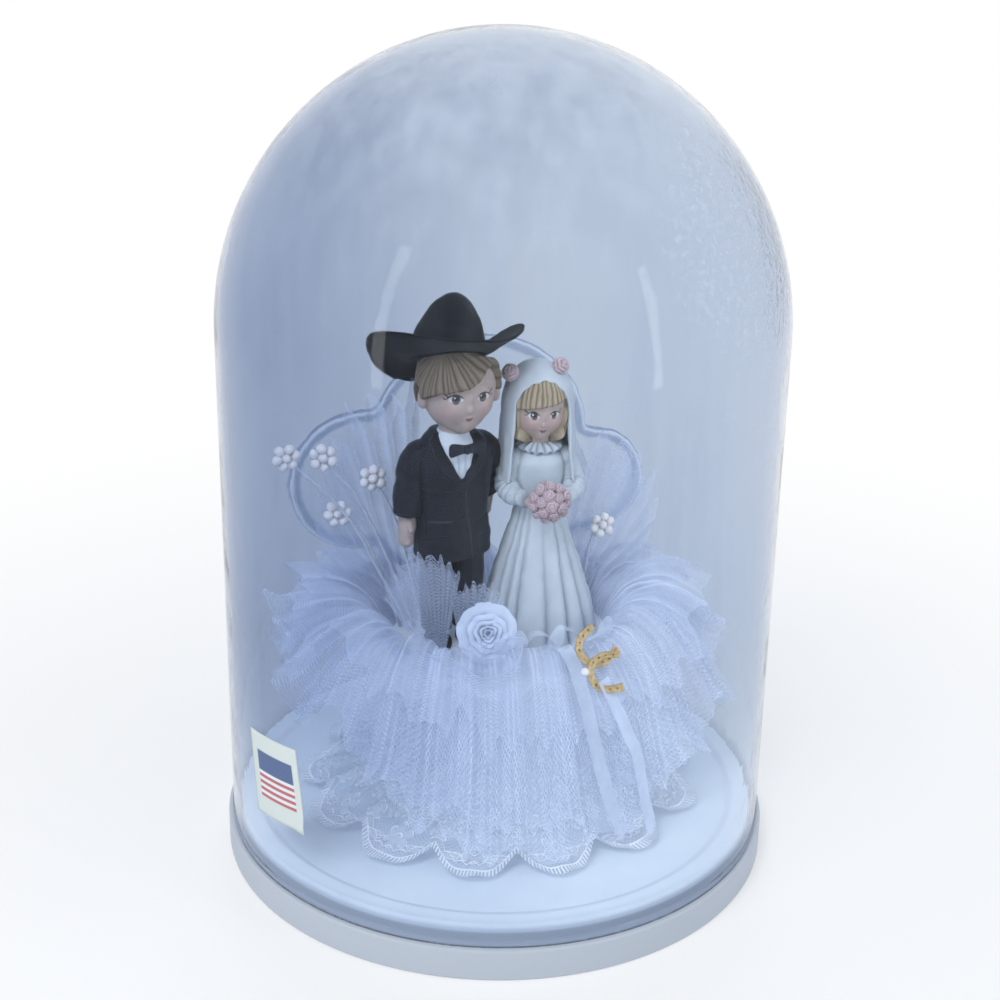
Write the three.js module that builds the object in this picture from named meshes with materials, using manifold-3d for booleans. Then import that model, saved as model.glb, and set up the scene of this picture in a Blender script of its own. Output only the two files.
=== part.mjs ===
// A wedding cake topper on its white display base, under a clear dome.
// Millimetres, +Z up. The origin is the centre of the base's underside, and the couple faces -Y.

import * as THREE from 'three';
import { mergeVertices } from 'three/addons/utils/BufferGeometryUtils.js';
import Module from 'manifold-3d';

const wasm = await Module();
wasm.setup();

// Shared clearances
const fitGap = 0.3;
const cutOverrun = 2;

// Counts that set how fine the round shapes are
const caseSides = 40;
const capSteps = 8;
const formSides = 14;
const smallSides = 8;

// Display base
const base = {
  radius: 90,
  bandHeight: 10.7,
  bandBevel: 0.9,
  wall: 2.4,
  stepInset: 3.9,
  platformHeight: 17.2,
  stepRound: 0.8,
  recessInset: 10,
  recessSlope: 2,
  recessDepth: 1,
};
const stepRadius = base.radius - base.stepInset;
const recessRadius = base.radius - base.recessInset;

// Dome
const dome = {
  footInset: 1.3,
  lipHeight: 2.5,
  lipStep: 0.4,
  taper: 0.2,
  wall: 1.5,
  sideHeight: 166.5,
  capHeight: 89.7,
};
const footRadius = base.radius - dome.footInset;

// Paper label on the dome
const label = {
  width: 25.6,
  height: 28,
  thickness: 0.2,
  centreHeight: 48.2,
  gap: 0.12,
};
const labelAngle = THREE.MathUtils.degToRad(-156.6);
const labelTilt = THREE.MathUtils.degToRad(7.7);

// Carrying parts of the topper, heights from the topper's own underside
const plate = { radius: 42, thickness: 3, bevel: 0.8 };
const riser = { height: 48.8, footRadius: 20, footHeight: 3, neckRadius: 12, headRadius: 20, headHeight: 3 };
const stage = { halfWidth: 36, halfDepth: 28, thickness: 4 };
const riserTop = plate.thickness + riser.height;
const stageTop = riserTop + stage.thickness;

// Clear backdrop plate of three lobes, heights from the stage's top
const backdrop = {
  thickness: 3,
  rimWidth: 3,
  panelThickness: 1.8,
  centreY: 22,
  middle: { x: -1.5, height: 57.6, radius: 37.7 },
  left: { x: -40.2, height: 49, radius: 24.1 },
  right: { x: 37.9, height: 41.5, radius: 18.8 },
  waistHalfWidth: 34,
  waistHeight: 22,
  footHalfWidth: 15,
  footDepth: 3.5,
};

// Lace skirt, heights from the topper's own underside
const lace = {
  thickness: 0.8,
  collarHeight: 36,
  hemHeight: 1.3,
  foldHeight: 2.6,
  scallopDepth: 7,
};
// How far the cloth reaches: left, right, front and back, as shares of the base's radius.
const laceReachShares = [0.7556, 0.7889, 0.7222, 0.6889];
const laceScallops = 13;
const scallopAngle = THREE.MathUtils.degToRad(-58);
const laceFall = 1.6;

// Gathered net ring round the stage
const ruffle = {
  thickness: 1.6,
  rimDrop: 1.2,
  lift: 12,
  hangLeft: 58,
  hangRight: 41,
  hangFront: 24,
  hangBack: 40,
  pleatHeight: 9,
  pleatHeightFront: 3,
};
const ruffleReachShares = [0.8, 0.8667, 0.5556, 0.7556];
const rufflePleats = 18;
const crestAngle = THREE.MathUtils.degToRad(-58);
const ruffleFall = 2.2;
const ruffleSwell = 0.7;

// Standing net panels and tufts. A hub is where the pleats meet, below the stage's top.
const fanThickness = 1;
const fanLeft = { x: -24, y: 14.6, hubDrop: 6, pleatDepth: 1.6, reach: 87 };
const fanRight = { x: 26, y: 14.6, hubDrop: 6, pleatDepth: 1.6, reach: 66 };
const tuftLeft = { x: -23.5, y: -15.5, hubDrop: 5, pleatDepth: 1, reach: 44 };
const tuftMiddle = { x: -15.5, y: -15.5, hubDrop: 5, pleatDepth: 1, reach: 31 };
const fanLeftReachShares = [1, 0.97, 0.89, 0.7, 0.55, 0.5];
const fanRightReachShares = [0.56, 0.75, 0.9, 1, 0.93, 0.8];
const tuftReachShares = [0.86, 1, 0.95, 0.98, 0.86];
const fanLeftAngles = [89, 141].map(THREE.MathUtils.degToRad);
const fanRightAngles = [36, 97].map(THREE.MathUtils.degToRad);
const tuftLeftAngles = [84, 112].map(THREE.MathUtils.degToRad);
const tuftMiddleAngles = [66, 98].map(THREE.MathUtils.degToRad);

// Trim in front
const rose = { radius: 9.5, depth: 6.5, height: 9, seatShare: 0.14 };
const rosePetals = 5;
const roseAngle = THREE.MathUtils.degToRad(-109);
const loop = { length: 9, height: 8, width: 3.4, wall: 0.9 };
const loopAngles = [-84, -70].map(THREE.MathUtils.degToRad);
const loopSeatShare = 0.1;
const shoeCharm = {
  outer: 6.6,
  band: 2.1,
  thickness: 0.9,
  legs: 3.6,
  layer: 0.4,
  shiftAcross: 2,
  shiftUp: 4,
};
const shoeTurns = [-40, -82].map(THREE.MathUtils.degToRad);
const charmAngle = THREE.MathUtils.degToRad(-58);
const charmSeatShare = 0.5;
const charmOffset = new THREE.Vector3(-1.9, -1.2, -1);
const charmFacing = THREE.MathUtils.degToRad(-17);
const charmLean = THREE.MathUtils.degToRad(66);
const charmPearlRadius = 1.3;
const ribbon = { width: 6, thickness: 0.5 };
const tails = [
  { startShare: 0.74, restShare: 0.92, endShare: 0.99, angles: [-58, -56] },
  { startShare: 0.35, restShare: 0.84, endShare: 0.9, angles: [-78, -68] },
];
const ribbonEdgeShare = 1.06;

// Pearl sprays: each flower is a ring of six pearls round a small core, on a wire stem
const pearl = { radius: 1.65, ringRadius: 3, coreRadius: 3, coreDepth: 0.9, stemRadius: 0.6 };
const pearlsInRing = 6;
const sprayFarLeft = { footX: -28, footY: 7.6, y: 5.6, height: 65.6, outShare: -0.75, turn: 0.2 };
const sprayHighLeft = { footX: -26, footY: 9.4, y: 7.6, height: 63.8, outShare: -0.6178, turn: 0.6 };
const sprayLowLeft = { footX: -30.5, footY: 10.4, y: 10.4, height: 43.3, outShare: -0.5644, turn: 0.1 };
const sprayInner = { footX: -23, footY: 10.4, y: 10.2, height: 54.4, outShare: -0.4356, turn: 0.4 };
const sprayRight = { footX: 31.4, footY: 11, y: 9, height: 30.2, outShare: 0.4278, turn: 0.3 };
const sprays = [sprayFarLeft, sprayHighLeft, sprayLowLeft, sprayInner, sprayRight];
const sprayBow = 9;

// Groom, heights from the stage's top
const groom = {
  x: -16,
  y: 0,
  turn: THREE.MathUtils.degToRad(3),
  shoe: { halfWidth: 4.4, halfDepth: 7, height: 4.4, apart: 5.2, forward: 2.4 },
  legs: { halfWidth: 5.4, halfDepth: 6.4, top: 31.2, apart: 5.2 },
  jacket: { halfWidth: 12.4, halfDepth: 9.4, height: 38.6 },
  sleeve: { halfWidth: 4.7, halfDepth: 5.1, height: 23, shoulderDrop: 1.5, outset: 0.2, back: 0.4 },
  sleeveLean: THREE.MathUtils.degToRad(5),
  armSwing: THREE.MathUtils.degToRad(24),
  hand: { halfWidth: 2.9, halfDepth: 3.4, height: 10.4, forward: 0.6 },
  shirt: { halfWidth: 6.4, drop: 13.5, over: 0.9, thickness: 0.9 },
  bow: { halfWidth: 5.6, halfHeight: 2.5, halfDepth: 1.3, drop: 0.9, knot: 1.7, inset: 0.8 },
  neck: { radius: 4.7, drop: 2.7 },
};
const jacketBottom = groom.legs.top + fitGap;
const jacketTop = jacketBottom + groom.jacket.height;
const groomNeckBottom = jacketTop - groom.neck.drop;
const groomHead = {
  x: 1.6,
  y: -0.5,
  chinGap: 1.6,
  halfWidth: 11.6,
  halfDepth: 12,
  halfHeight: 15.6,
  nose: 1.7,
  ear: 2.6,
  hairThickness: 1.5,
  fringeHeight: 5.4,
  sideHeight: -3.2,
};
groomHead.height = jacketTop + groomHead.chinGap + groomHead.halfHeight;
const hat = {
  shiftX: -3.5,
  seat: 9.7,
  ease: 0.3,
  crownHeight: 18.6,
  crownRound: 2.2,
  crownShoulder: 0.55,
  crownNarrow: 0.12,
  crownBend: 1.3,
  crownLeanX: 1.2,
  crownLeanY: -4.2,
  brimHalfWidth: 25,
  brimHalfDepth: 23,
  brimThickness: 1,
  curlLeft: 6.9,
  curlRight: 10.2,
  frontRise: 1.1,
  backDrop: 4.4,
};
hat.x = groomHead.x + hat.shiftX;
hat.height = groomHead.height + hat.seat;
hat.crownHalfWidth = groomHead.halfWidth + hat.ease;
hat.crownHalfDepth = groomHead.halfDepth + hat.ease;
const hatTurn = THREE.MathUtils.degToRad(10);
const hatPitch = THREE.MathUtils.degToRad(24.8);
const hatRoll = THREE.MathUtils.degToRad(9);
const hatCurl = 1.8;

// Bride, heights from the stage's top
const bride = {
  x: 12.8,
  y: 0,
  turn: THREE.MathUtils.degToRad(-6),
  gown: { halfWidth: 20.4, halfDepth: 18.4, height: 45, flute: 1.3 },
  bodice: { halfWidth: 8.6, halfDepth: 7.4, height: 19 },
  sleeve: { radius: 3.7, shoulderInset: 0.3, shoulderDrop: 2.9, elbowOutset: 2.6, elbowRise: 6.3 },
  wrist: { out: 6.6, forward: 11.8, rise: 5.9, radius: 2.5 },
  hand: { radius: 2, out: 4.6, forward: 13.4, rise: 5.1 },
  collar: { radius: 5.4, tube: 1.5, rise: 0.9 },
  neck: { radius: 3.6, drop: 2.7 },
  bouquet: { radius: 6.2, rise: 6.3, forward: 17.6, bloom: 2.7 },
};
const bodiceBottom = bride.gown.height + fitGap;
const bodiceTop = bodiceBottom + bride.bodice.height;
const brideNeckBottom = bodiceTop - bride.neck.drop;
const bouquetHeight = bodiceBottom + bride.bouquet.rise;
const gownFlutes = 12;
const bouquetBlooms = 6;
const brideHead = {
  x: -0.7,
  y: -0.5,
  chinGap: 2.9,
  halfWidth: 8.2,
  halfDepth: 8.8,
  halfHeight: 12,
  nose: 1.1,
  hairThickness: 1.5,
  fringeHeight: 3.6,
  bobDrop: 8.4,
};
brideHead.height = bodiceTop + brideHead.chinGap + brideHead.halfHeight;
const veil = {
  thickness: 1.2,
  over: 1.3,
  fall: 25.2,
  sideEase: 3.4,
  depthEase: 1.6,
  openEase: 0.6,
  back: 1.2,
};
veil.top = brideHead.height + brideHead.halfHeight + veil.over;
veil.bottom = brideHead.height - veil.fall;
veil.halfWidth = brideHead.halfWidth + veil.sideEase;
veil.halfDepth = brideHead.halfDepth + veil.depthEase;
veil.openHalfWidth = brideHead.halfWidth + veil.openEase;
const veilRose = {
  radius: 2.6,
  left: { out: 9.6, rise: 10.8 },
  right: { out: 6.2, rise: 12.2 },
  forward: 3.4,
};

// Profiles of turned forms: share of the half width, share of the height
const jacketShares = [
  [0, 0], [0.93, 0], [1, 0.03], [0.96, 0.3], [0.95, 0.5],
  [1.02, 0.75], [0.95, 0.87], [0.66, 0.96], [0.4, 1], [0, 1],
];
const legShares = [
  [0, 0], [0.86, 0], [0.94, 0.3], [1, 0.7], [1, 1],
  [0, 1],
];
const sleeveShares = [
  [0, 0], [0.86, 0], [0.96, 0.12], [1, 0.5], [1.02, 0.75],
  [0.8, 0.93], [0.4, 1], [0, 1],
];
const handShares = [
  [0, 0], [0.5, 0.03], [0.86, 0.22], [1, 0.5], [0.9, 0.8],
  [0.7, 1], [0, 1],
];
const gownShares = [
  [0, 0], [1, 0], [0.93, 0.16], [0.78, 0.4], [0.6, 0.66],
  [0.44, 0.88], [0.36, 1], [0, 1],
];
const bodiceShares = [
  [0, 0], [0.86, 0], [0.9, 0.3], [1, 0.62], [0.92, 0.84],
  [0.6, 0.97], [0.4, 1], [0, 1],
];
const veilShares = [
  [0, 1], [0.45, 0.985], [0.76, 0.93], [0.93, 0.83], [1, 0.7],
  [1.02, 0.4], [1.1, 0.15], [1.16, 0],
];

const at = (x, y, z) => new THREE.Vector3(x, y, z);
const halfTurn = Math.PI;
const fullTurn = 2 * Math.PI;

// Turns a mesh's faces outwards if they point in.
function facingOut(geometry) {
  const position = geometry.getAttribute('position');
  const index = geometry.getIndex();
  const a = new THREE.Vector3();
  const b = new THREE.Vector3();
  const c = new THREE.Vector3();
  let volume = 0;
  for (let i = 0; i < index.count; i += 3) {
    a.fromBufferAttribute(position, index.getX(i));
    b.fromBufferAttribute(position, index.getX(i + 1));
    c.fromBufferAttribute(position, index.getX(i + 2));
    volume += a.dot(b.cross(c));
  }
  if (volume < 0) {
    for (let i = 0; i < index.count; i += 3) {
      const second = index.getX(i + 1);
      index.setX(i + 1, index.getX(i + 2));
      index.setX(i + 2, second);
    }
  }
  return geometry;
}

// Merges shared corners and drops triangles that have no area, so the mesh is one closed skin.
function closed(geometry) {
  let bare = geometry.clone();
  bare.deleteAttribute('normal');
  bare.deleteAttribute('uv');
  bare = mergeVertices(bare);
  const index = bare.getIndex().array;
  const kept = [];
  for (let i = 0; i < index.length; i += 3) {
    const [a, b, c] = [index[i], index[i + 1], index[i + 2]];
    if (a !== b && b !== c && c !== a) {
      kept.push(a, b, c);
    }
  }
  bare.setIndex(kept);
  return facingOut(bare);
}

function solidOf(geometry) {
  const bare = closed(geometry);
  return new wasm.Manifold(new wasm.Mesh({
    numProp: 3,
    vertProperties: new Float32Array(bare.getAttribute('position').array),
    triVerts: new Uint32Array(bare.getIndex().array),
  }));
}

function geometryOf(solid) {
  const mesh = solid.getMesh();
  const geometry = new THREE.BufferGeometry();
  geometry.setAttribute('position', new THREE.BufferAttribute(new Float32Array(mesh.vertProperties), 3));
  geometry.setIndex(Array.from(mesh.triVerts));
  return geometry;
}

function fused(...geometries) {
  const solids = geometries.map(solidOf);
  return geometryOf(solids.reduce((sum, next) => sum.add(next)));
}

function cutBy(geometry, ...cutters) {
  return geometryOf(cutters.reduce((rest, cutter) => rest.subtract(solidOf(cutter)), solidOf(geometry)));
}

function shared(first, second) {
  return geometryOf(solidOf(first).intersect(solidOf(second)));
}

// A profile of shares turned round Z, then widened to its half width, half depth and height.
function turned(shape, shares, { sides = formSides, grow = 0 } = {}) {
  const points = shares.map(([across, up]) => new THREE.Vector2(across, up));
  const geometry = new THREE.LatheGeometry(points, sides);
  geometry.rotateX(halfTurn / 2);
  geometry.scale(shape.halfWidth + grow, shape.halfDepth + grow, shape.height + 2 * grow);
  geometry.translate(shape.x ?? 0, shape.y ?? 0, (shape.bottom ?? 0) - grow);
  return geometry;
}

// A round body turned from a list of [radius, height] points.
function lathed(points, sides) {
  const geometry = new THREE.LatheGeometry(points.map(([r, z]) => new THREE.Vector2(r, z)), sides);
  geometry.rotateX(halfTurn / 2);
  return geometry;
}

// A flat outline in XY drawn up along Z.
function extruded(outline, depth, curveSegments = 1) {
  return new THREE.ExtrudeGeometry(outline, { depth, bevelEnabled: false, curveSegments });
}

function ball(centre, halfWidth, halfDepth = halfWidth, halfHeight = halfWidth, sides = smallSides) {
  const geometry = new THREE.SphereGeometry(1, sides, Math.max(4, Math.round(sides * 0.6)));
  geometry.rotateX(halfTurn / 2);
  geometry.scale(halfWidth, halfDepth, halfHeight);
  geometry.translate(centre.x, centre.y, centre.z);
  return geometry;
}

function block(low, high) {
  const geometry = new THREE.BoxGeometry(high.x - low.x, high.y - low.y, high.z - low.z);
  geometry.translate((low.x + high.x) / 2, (low.y + high.y) / 2, (low.z + high.z) / 2);
  return geometry;
}

// A round rod along a smooth line through the points.
function rod(points, radius, steps, sides = smallSides) {
  const curve = new THREE.CatmullRomCurve3(points);
  const round = new THREE.EllipseCurve(0, 0, radius, radius);
  const section = new THREE.Shape(round.getPoints(sides).slice(0, sides));
  return new THREE.ExtrudeGeometry(section, { steps, extrudePath: curve, bevelEnabled: false });
}

// A closed sheet. place(u, v, side) gives a point of its upper face (side 1) or its lower face (side 0).
function sheet(place, columns, rows, wraps = false) {
  const across = wraps ? columns : columns + 1;
  const positions = [];
  const indices = [];
  const corner = (side, row, column) => (side * (rows + 1) + row) * across + (column % across);
  const quad = (a, b, c, d) => indices.push(a, b, c, a, c, d);
  const top = (row, column) => corner(1, row, column);
  const under = (row, column) => corner(0, row, column);
  for (let side = 0; side <= 1; side += 1) {
    for (let row = 0; row <= rows; row += 1) {
      for (let column = 0; column < across; column += 1) {
        positions.push(...place(column / columns, row / rows, side).toArray());
      }
    }
  }
  for (let column = 0; column < columns; column += 1) {
    for (let row = 0; row < rows; row += 1) {
      quad(top(row, column), top(row, column + 1), top(row + 1, column + 1), top(row + 1, column));
      quad(under(row, column), under(row + 1, column), under(row + 1, column + 1), under(row, column + 1));
    }
    quad(under(0, column), under(0, column + 1), top(0, column + 1), top(0, column));
    quad(top(rows, column), top(rows, column + 1), under(rows, column + 1), under(rows, column));
  }
  for (let row = 0; row < rows && !wraps; row += 1) {
    quad(top(row, 0), top(row + 1, 0), under(row + 1, 0), under(row, 0));
    quad(under(row, columns), under(row + 1, columns), top(row + 1, columns), top(row, columns));
  }
  const geometry = new THREE.BufferGeometry();
  geometry.setAttribute('position', new THREE.Float32BufferAttribute(positions, 3));
  geometry.setIndex(indices);
  return facingOut(geometry);
}

function piece(name, geometry, color, roughness, metalness = 0, opacity = 1) {
  const transparent = opacity < 1;
  const material = new THREE.MeshStandardMaterial({ color, roughness, metalness, opacity, transparent });
  const mesh = new THREE.Mesh(geometry, material);
  mesh.name = name;
  return mesh;
}

const colours = {
  whitePlastic: 0xe9edf2,
  clearPlastic: 0xc9d6e6,
  paper: 0xcfd8d4,
  net: 0xdfe6fb,
  lace: 0xe4ebf5,
  satin: 0xd9e4fb,
  gold: 0xc99a4b,
  pearl: 0xf2f2ee,
  blackBisque: 0x2b3039,
  skin: 0xd8b9ac,
  blond: 0xb9a588,
  whiteBisque: 0xd6e0e8,
  pink: 0xc3a1ab,
  felt: 0x1f2630,
};

// Display case

function buildBase() {
  const innerRadius = base.radius - base.wall;
  const recessFloor = base.platformHeight - base.recessDepth;
  const skin = base.bandHeight - base.wall;
  const points = [
    [0, recessFloor - base.wall],
    [stepRadius - base.wall, recessFloor - base.wall],
    [stepRadius - base.wall, skin],
    [innerRadius, skin],
    [innerRadius, 0],
    [base.radius, 0],
    [base.radius, base.bandHeight - base.bandBevel],
    [base.radius - base.bandBevel, base.bandHeight],
    [stepRadius, base.bandHeight],
    [stepRadius, base.platformHeight - base.stepRound],
    [stepRadius - base.stepRound, base.platformHeight],
    [recessRadius, base.platformHeight],
    [recessRadius - base.recessSlope, recessFloor],
    [0, recessFloor],
  ];
  return piece('display_base', lathed(points, caseSides), colours.whitePlastic, 0.45);
}

// The cap is half an ellipse, from the side's top to the crown.
function capPoints(radius, height, springing) {
  const points = [];
  for (let i = 0; i <= capSteps; i += 1) {
    const angle = (i / capSteps) * (halfTurn / 2);
    points.push([radius * Math.cos(angle), springing + height * Math.sin(angle)]);
  }
  points[capSteps][0] = 0;
  return points;
}

function buildDome() {
  const foot = base.bandHeight;
  const springing = foot + dome.sideHeight;
  const sideRadius = footRadius - dome.lipStep;
  const topRadius = sideRadius - dome.taper;
  const inner = capPoints(topRadius - dome.wall, dome.capHeight - dome.wall, springing);
  const points = [
    ...inner.reverse(),
    [sideRadius - dome.wall, foot],
    [footRadius, foot],
    [footRadius, foot + dome.lipHeight],
    [sideRadius, foot + dome.lipHeight + dome.lipStep],
    ...capPoints(topRadius, dome.capHeight, springing),
  ];
  return piece('dome', lathed(points, caseSides), colours.clearPlastic, 0.08, 0, 0.25);
}

function buildLabel() {
  const inside = footRadius - dome.lipStep + label.gap;
  const place = (u, v, side) => {
    const along = (u - 1 / 2) * label.width;
    const up = (v - 1 / 2) * label.height;
    const across = along * Math.cos(labelTilt) - up * Math.sin(labelTilt);
    const rise = along * Math.sin(labelTilt) + up * Math.cos(labelTilt);
    const angle = labelAngle + across / inside;
    const radius = inside + side * label.thickness;
    return at(radius * Math.cos(angle), radius * Math.sin(angle), label.centreHeight + rise);
  };
  return piece('dome_label', sheet(place, 8, 1), colours.paper, 0.7);
}

// Carrying parts

function buildPlate() {
  const points = [
    [0, 0],
    [plate.radius, 0],
    [plate.radius, plate.thickness - plate.bevel],
    [plate.radius - plate.bevel, plate.thickness],
    [0, plate.thickness],
  ];
  return piece('topper_plate', lathed(points, caseSides / 2), colours.whitePlastic, 0.5);
}

function buildRiser() {
  const foot = plate.thickness;
  const points = [
    [0, foot],
    [riser.footRadius, foot],
    [riser.footRadius, foot + riser.footHeight],
    [riser.neckRadius, foot + 2 * riser.footHeight],
    [riser.neckRadius, riserTop - 2 * riser.headHeight],
    [riser.headRadius, riserTop - riser.headHeight],
    [riser.headRadius, riserTop],
    [0, riserTop],
  ];
  return piece('topper_riser', lathed(points, caseSides / 2), colours.whitePlastic, 0.5);
}

function buildStage() {
  const oval = new THREE.Shape();
  oval.absellipse(0, 0, stage.halfWidth, stage.halfDepth, 0, fullTurn);
  const disc = extruded(oval, stage.thickness, caseSides / 2);
  disc.translate(0, 0, riserTop);
  const slotHalfDepth = backdrop.thickness / 2 + fitGap;
  const slotHalfWidth = backdrop.footHalfWidth + fitGap;
  const slot = block(
    at(-slotHalfWidth, backdrop.centreY - slotHalfDepth, stageTop - backdrop.footDepth - fitGap),
    at(slotHalfWidth, backdrop.centreY + slotHalfDepth, stageTop + cutOverrun),
  );
  return piece('topper_stage', cutBy(disc, slot), colours.whitePlastic, 0.5);
}

// A disc of one lobe standing in the XZ plane, its front face at the given depth.
function lobeDisc(lobe, inset, front, back) {
  const round = new THREE.Shape();
  round.absarc(0, 0, lobe.radius - inset, 0, fullTurn);
  const disc = extruded(round, back - front, 14);
  disc.rotateX(halfTurn / 2);
  disc.translate(lobe.x, back, stageTop + lobe.height);
  return disc;
}

// The backdrop's body below the lobes, from the waist down to the foot.
function backdropBody(inset, front, back) {
  const waist = backdrop.waistHalfWidth - inset;
  const foot = backdrop.footHalfWidth - inset;
  const outline = new THREE.Shape([
    new THREE.Vector2(-foot, -backdrop.footDepth),
    new THREE.Vector2(foot, -backdrop.footDepth),
    new THREE.Vector2(foot, 0),
    new THREE.Vector2(waist, backdrop.waistHeight),
    new THREE.Vector2(backdrop.right.x, backdrop.right.height),
    new THREE.Vector2(backdrop.left.x, backdrop.left.height),
    new THREE.Vector2(-waist, backdrop.waistHeight),
    new THREE.Vector2(-foot, 0),
  ]);
  const body = extruded(outline, back - front);
  body.rotateX(halfTurn / 2);
  body.translate(0, back, stageTop);
  return body;
}

function trefoil(inset, front, back) {
  const lobes = [backdrop.middle, backdrop.left, backdrop.right];
  const discs = lobes.map((lobe) => lobeDisc(lobe, inset, front, back));
  return fused(backdropBody(inset, front, back), ...discs);
}

function buildBackdrop() {
  const front = backdrop.centreY - backdrop.thickness / 2;
  const back = backdrop.centreY + backdrop.thickness / 2;
  const sunk = front + (backdrop.thickness - backdrop.panelThickness);
  const recess = cutBy(trefoil(backdrop.rimWidth, front - cutOverrun, sunk), block(
    at(-backdrop.footHalfWidth, front - 2 * cutOverrun, stageTop - 2 * backdrop.footDepth),
    at(backdrop.footHalfWidth, sunk + cutOverrun, stageTop + backdrop.rimWidth),
  ));
  return piece('backdrop', cutBy(trefoil(0, front, back), recess), colours.clearPlastic, 0.08, 0, 0.3);
}

// Cloth

// A length that changes smoothly from side to side and from front to back.
function allRound(angle, left, right, front, back) {
  const sideways = Math.cos(angle);
  const forward = Math.sin(angle);
  return (sideways > 0 ? right : left) * sideways ** 2 + (forward > 0 ? back : front) * forward ** 2;
}

function laceHeight(share) {
  return lace.hemHeight + (lace.collarHeight - lace.hemHeight) * (1 - share) ** laceFall;
}

// A point of the lace: it falls in a hollow curve from the column to its scalloped hem.
function lacePoint(angle, share) {
  const whole = base.radius * allRound(angle, ...laceReachShares);
  const wave = Math.abs(Math.cos(((angle - scallopAngle) * laceScallops) / 2));
  const reach = whole - lace.scallopDepth * (1 - wave) * share ** 4;
  const collar = riser.neckRadius + fitGap;
  const radius = collar + (reach - collar) * share;
  const fold = lace.foldHeight * share * wave ** 2;
  return at(radius * Math.cos(angle), radius * Math.sin(angle), laceHeight(share) + fold);
}

function buildLace() {
  const place = (u, v, side) => {
    const point = lacePoint(scallopAngle + u * fullTurn, v);
    point.z -= (1 - side) * lace.thickness;
    return point;
  };
  return piece('lace_skirt', sheet(place, laceScallops * 6, 4, true), colours.lace, 0.9);
}

// A point of the gathered net: it swells up off the stage's rim, then falls to a pleated edge.
function rufflePoint(angle, share) {
  const rimX = (stage.halfWidth + fitGap) * Math.cos(angle);
  const rimY = (stage.halfDepth + fitGap) * Math.sin(angle);
  const reach = base.radius * allRound(angle, ...ruffleReachShares);
  const hang = allRound(angle, ruffle.hangLeft, ruffle.hangRight, ruffle.hangFront, ruffle.hangBack);
  const { pleatHeight, pleatHeightFront } = ruffle;
  const depth = allRound(angle, pleatHeight, pleatHeight, pleatHeightFront, pleatHeight);
  const rim = stageTop - ruffle.rimDrop;
  const swell = ruffle.lift * Math.sin(halfTurn * share ** ruffleSwell);
  const pleat = depth * share * Math.cos((angle - crestAngle) * rufflePleats);
  return at(
    rimX + (reach * Math.cos(angle) - rimX) * share,
    rimY + (reach * Math.sin(angle) - rimY) * share,
    rim + (hang - rim) * share ** ruffleFall + swell + pleat,
  );
}

function ruffleForm(rise, drop) {
  const place = (u, v, side) => {
    const point = rufflePoint(crestAngle + u * fullTurn, v);
    point.z += side > 0 ? rise : -drop;
    return point;
  };
  return sheet(place, rufflePleats * 5, 4, true);
}

function buildRuffle() {
  return piece('tulle_ruffle', ruffleForm(0, ruffle.thickness), colours.net, 0.95);
}

// Whatever lies on the gathered net is cut to its shape, so that it is seated all along.
function seatedOnNet(geometry) {
  return cutBy(geometry, ruffleForm(fitGap, ruffle.lift));
}

function shareAt(shares, along) {
  const place = along * (shares.length - 1);
  const before = Math.min(Math.floor(place), shares.length - 2);
  return shares[before] + (shares[before + 1] - shares[before]) * (place - before);
}

// A standing fan of net: pleats spread from a hub below the stage's top.
function buildFan(name, fan, angles, shares, pleats) {
  const [first, last] = angles;
  const place = (u, v, side) => {
    const angle = first + (last - first) * u;
    const start = (fan.hubDrop + fitGap) / Math.sin(angle);
    const radius = start + (fan.reach * shareAt(shares, u) - start) * v;
    const pleat = fan.pleatDepth * v * Math.cos(u * pleats * fullTurn);
    return at(
      fan.x + radius * Math.cos(angle),
      fan.y + pleat + (side - 1 / 2) * fanThickness,
      stageTop - fan.hubDrop + radius * Math.sin(angle),
    );
  };
  return piece(name, seatedOnNet(sheet(place, pleats * 2, 2)), colours.net, 0.95);
}

// Trim in front

function nearestCrest(angle) {
  const step = fullTurn / rufflePleats;
  return crestAngle + Math.round((angle - crestAngle) / step) * step;
}

function buildRose() {
  const centre = rufflePoint(roseAngle, rose.seatShare);
  centre.z += rose.height;
  const heart = ball(centre, rose.radius / 2, rose.depth / 2 + fitGap, rose.radius / 2);
  const petals = [];
  for (let i = 0; i < rosePetals; i += 1) {
    const angle = (i / rosePetals + 1 / 4) * fullTurn;
    const out = rose.radius / 2;
    const petal = at(centre.x + out * Math.cos(angle), centre.y, centre.z + out * Math.sin(angle));
    petals.push(ball(petal, out, rose.depth / 2, out));
  }
  return piece('fabric_rose', seatedOnNet(fused(heart, ...petals)), colours.satin, 0.7);
}

// The oval of a ribbon loop, standing on the net and drawn out along its width.
function loopOval(grow = 0) {
  const outline = new THREE.Shape();
  const [across, up] = [loop.length / 2 + grow, loop.height / 2 + grow];
  outline.absellipse(0, loop.height / 2, across, up, 0, fullTurn);
  return outline;
}

function standingLoop(angle, outline, width) {
  const seat = rufflePoint(angle, loopSeatShare);
  const geometry = extruded(outline, width, 8);
  geometry.rotateX(halfTurn / 2);
  geometry.translate(seat.x, seat.y + width / 2, seat.z + fitGap);
  return geometry;
}

// A small standing loop of ribbon, its foot in the gathered net.
function buildLoop(name, angle) {
  const outline = loopOval();
  const hole = new THREE.Path();
  const [across, up] = [loop.length / 2 - loop.wall, loop.height / 2 - loop.wall];
  hole.absellipse(0, loop.height / 2, across, up, 0, fullTurn, true);
  outline.holes.push(hole);
  return piece(name, seatedOnNet(standingLoop(angle, outline, loop.width)), colours.satin, 0.5);
}

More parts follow.
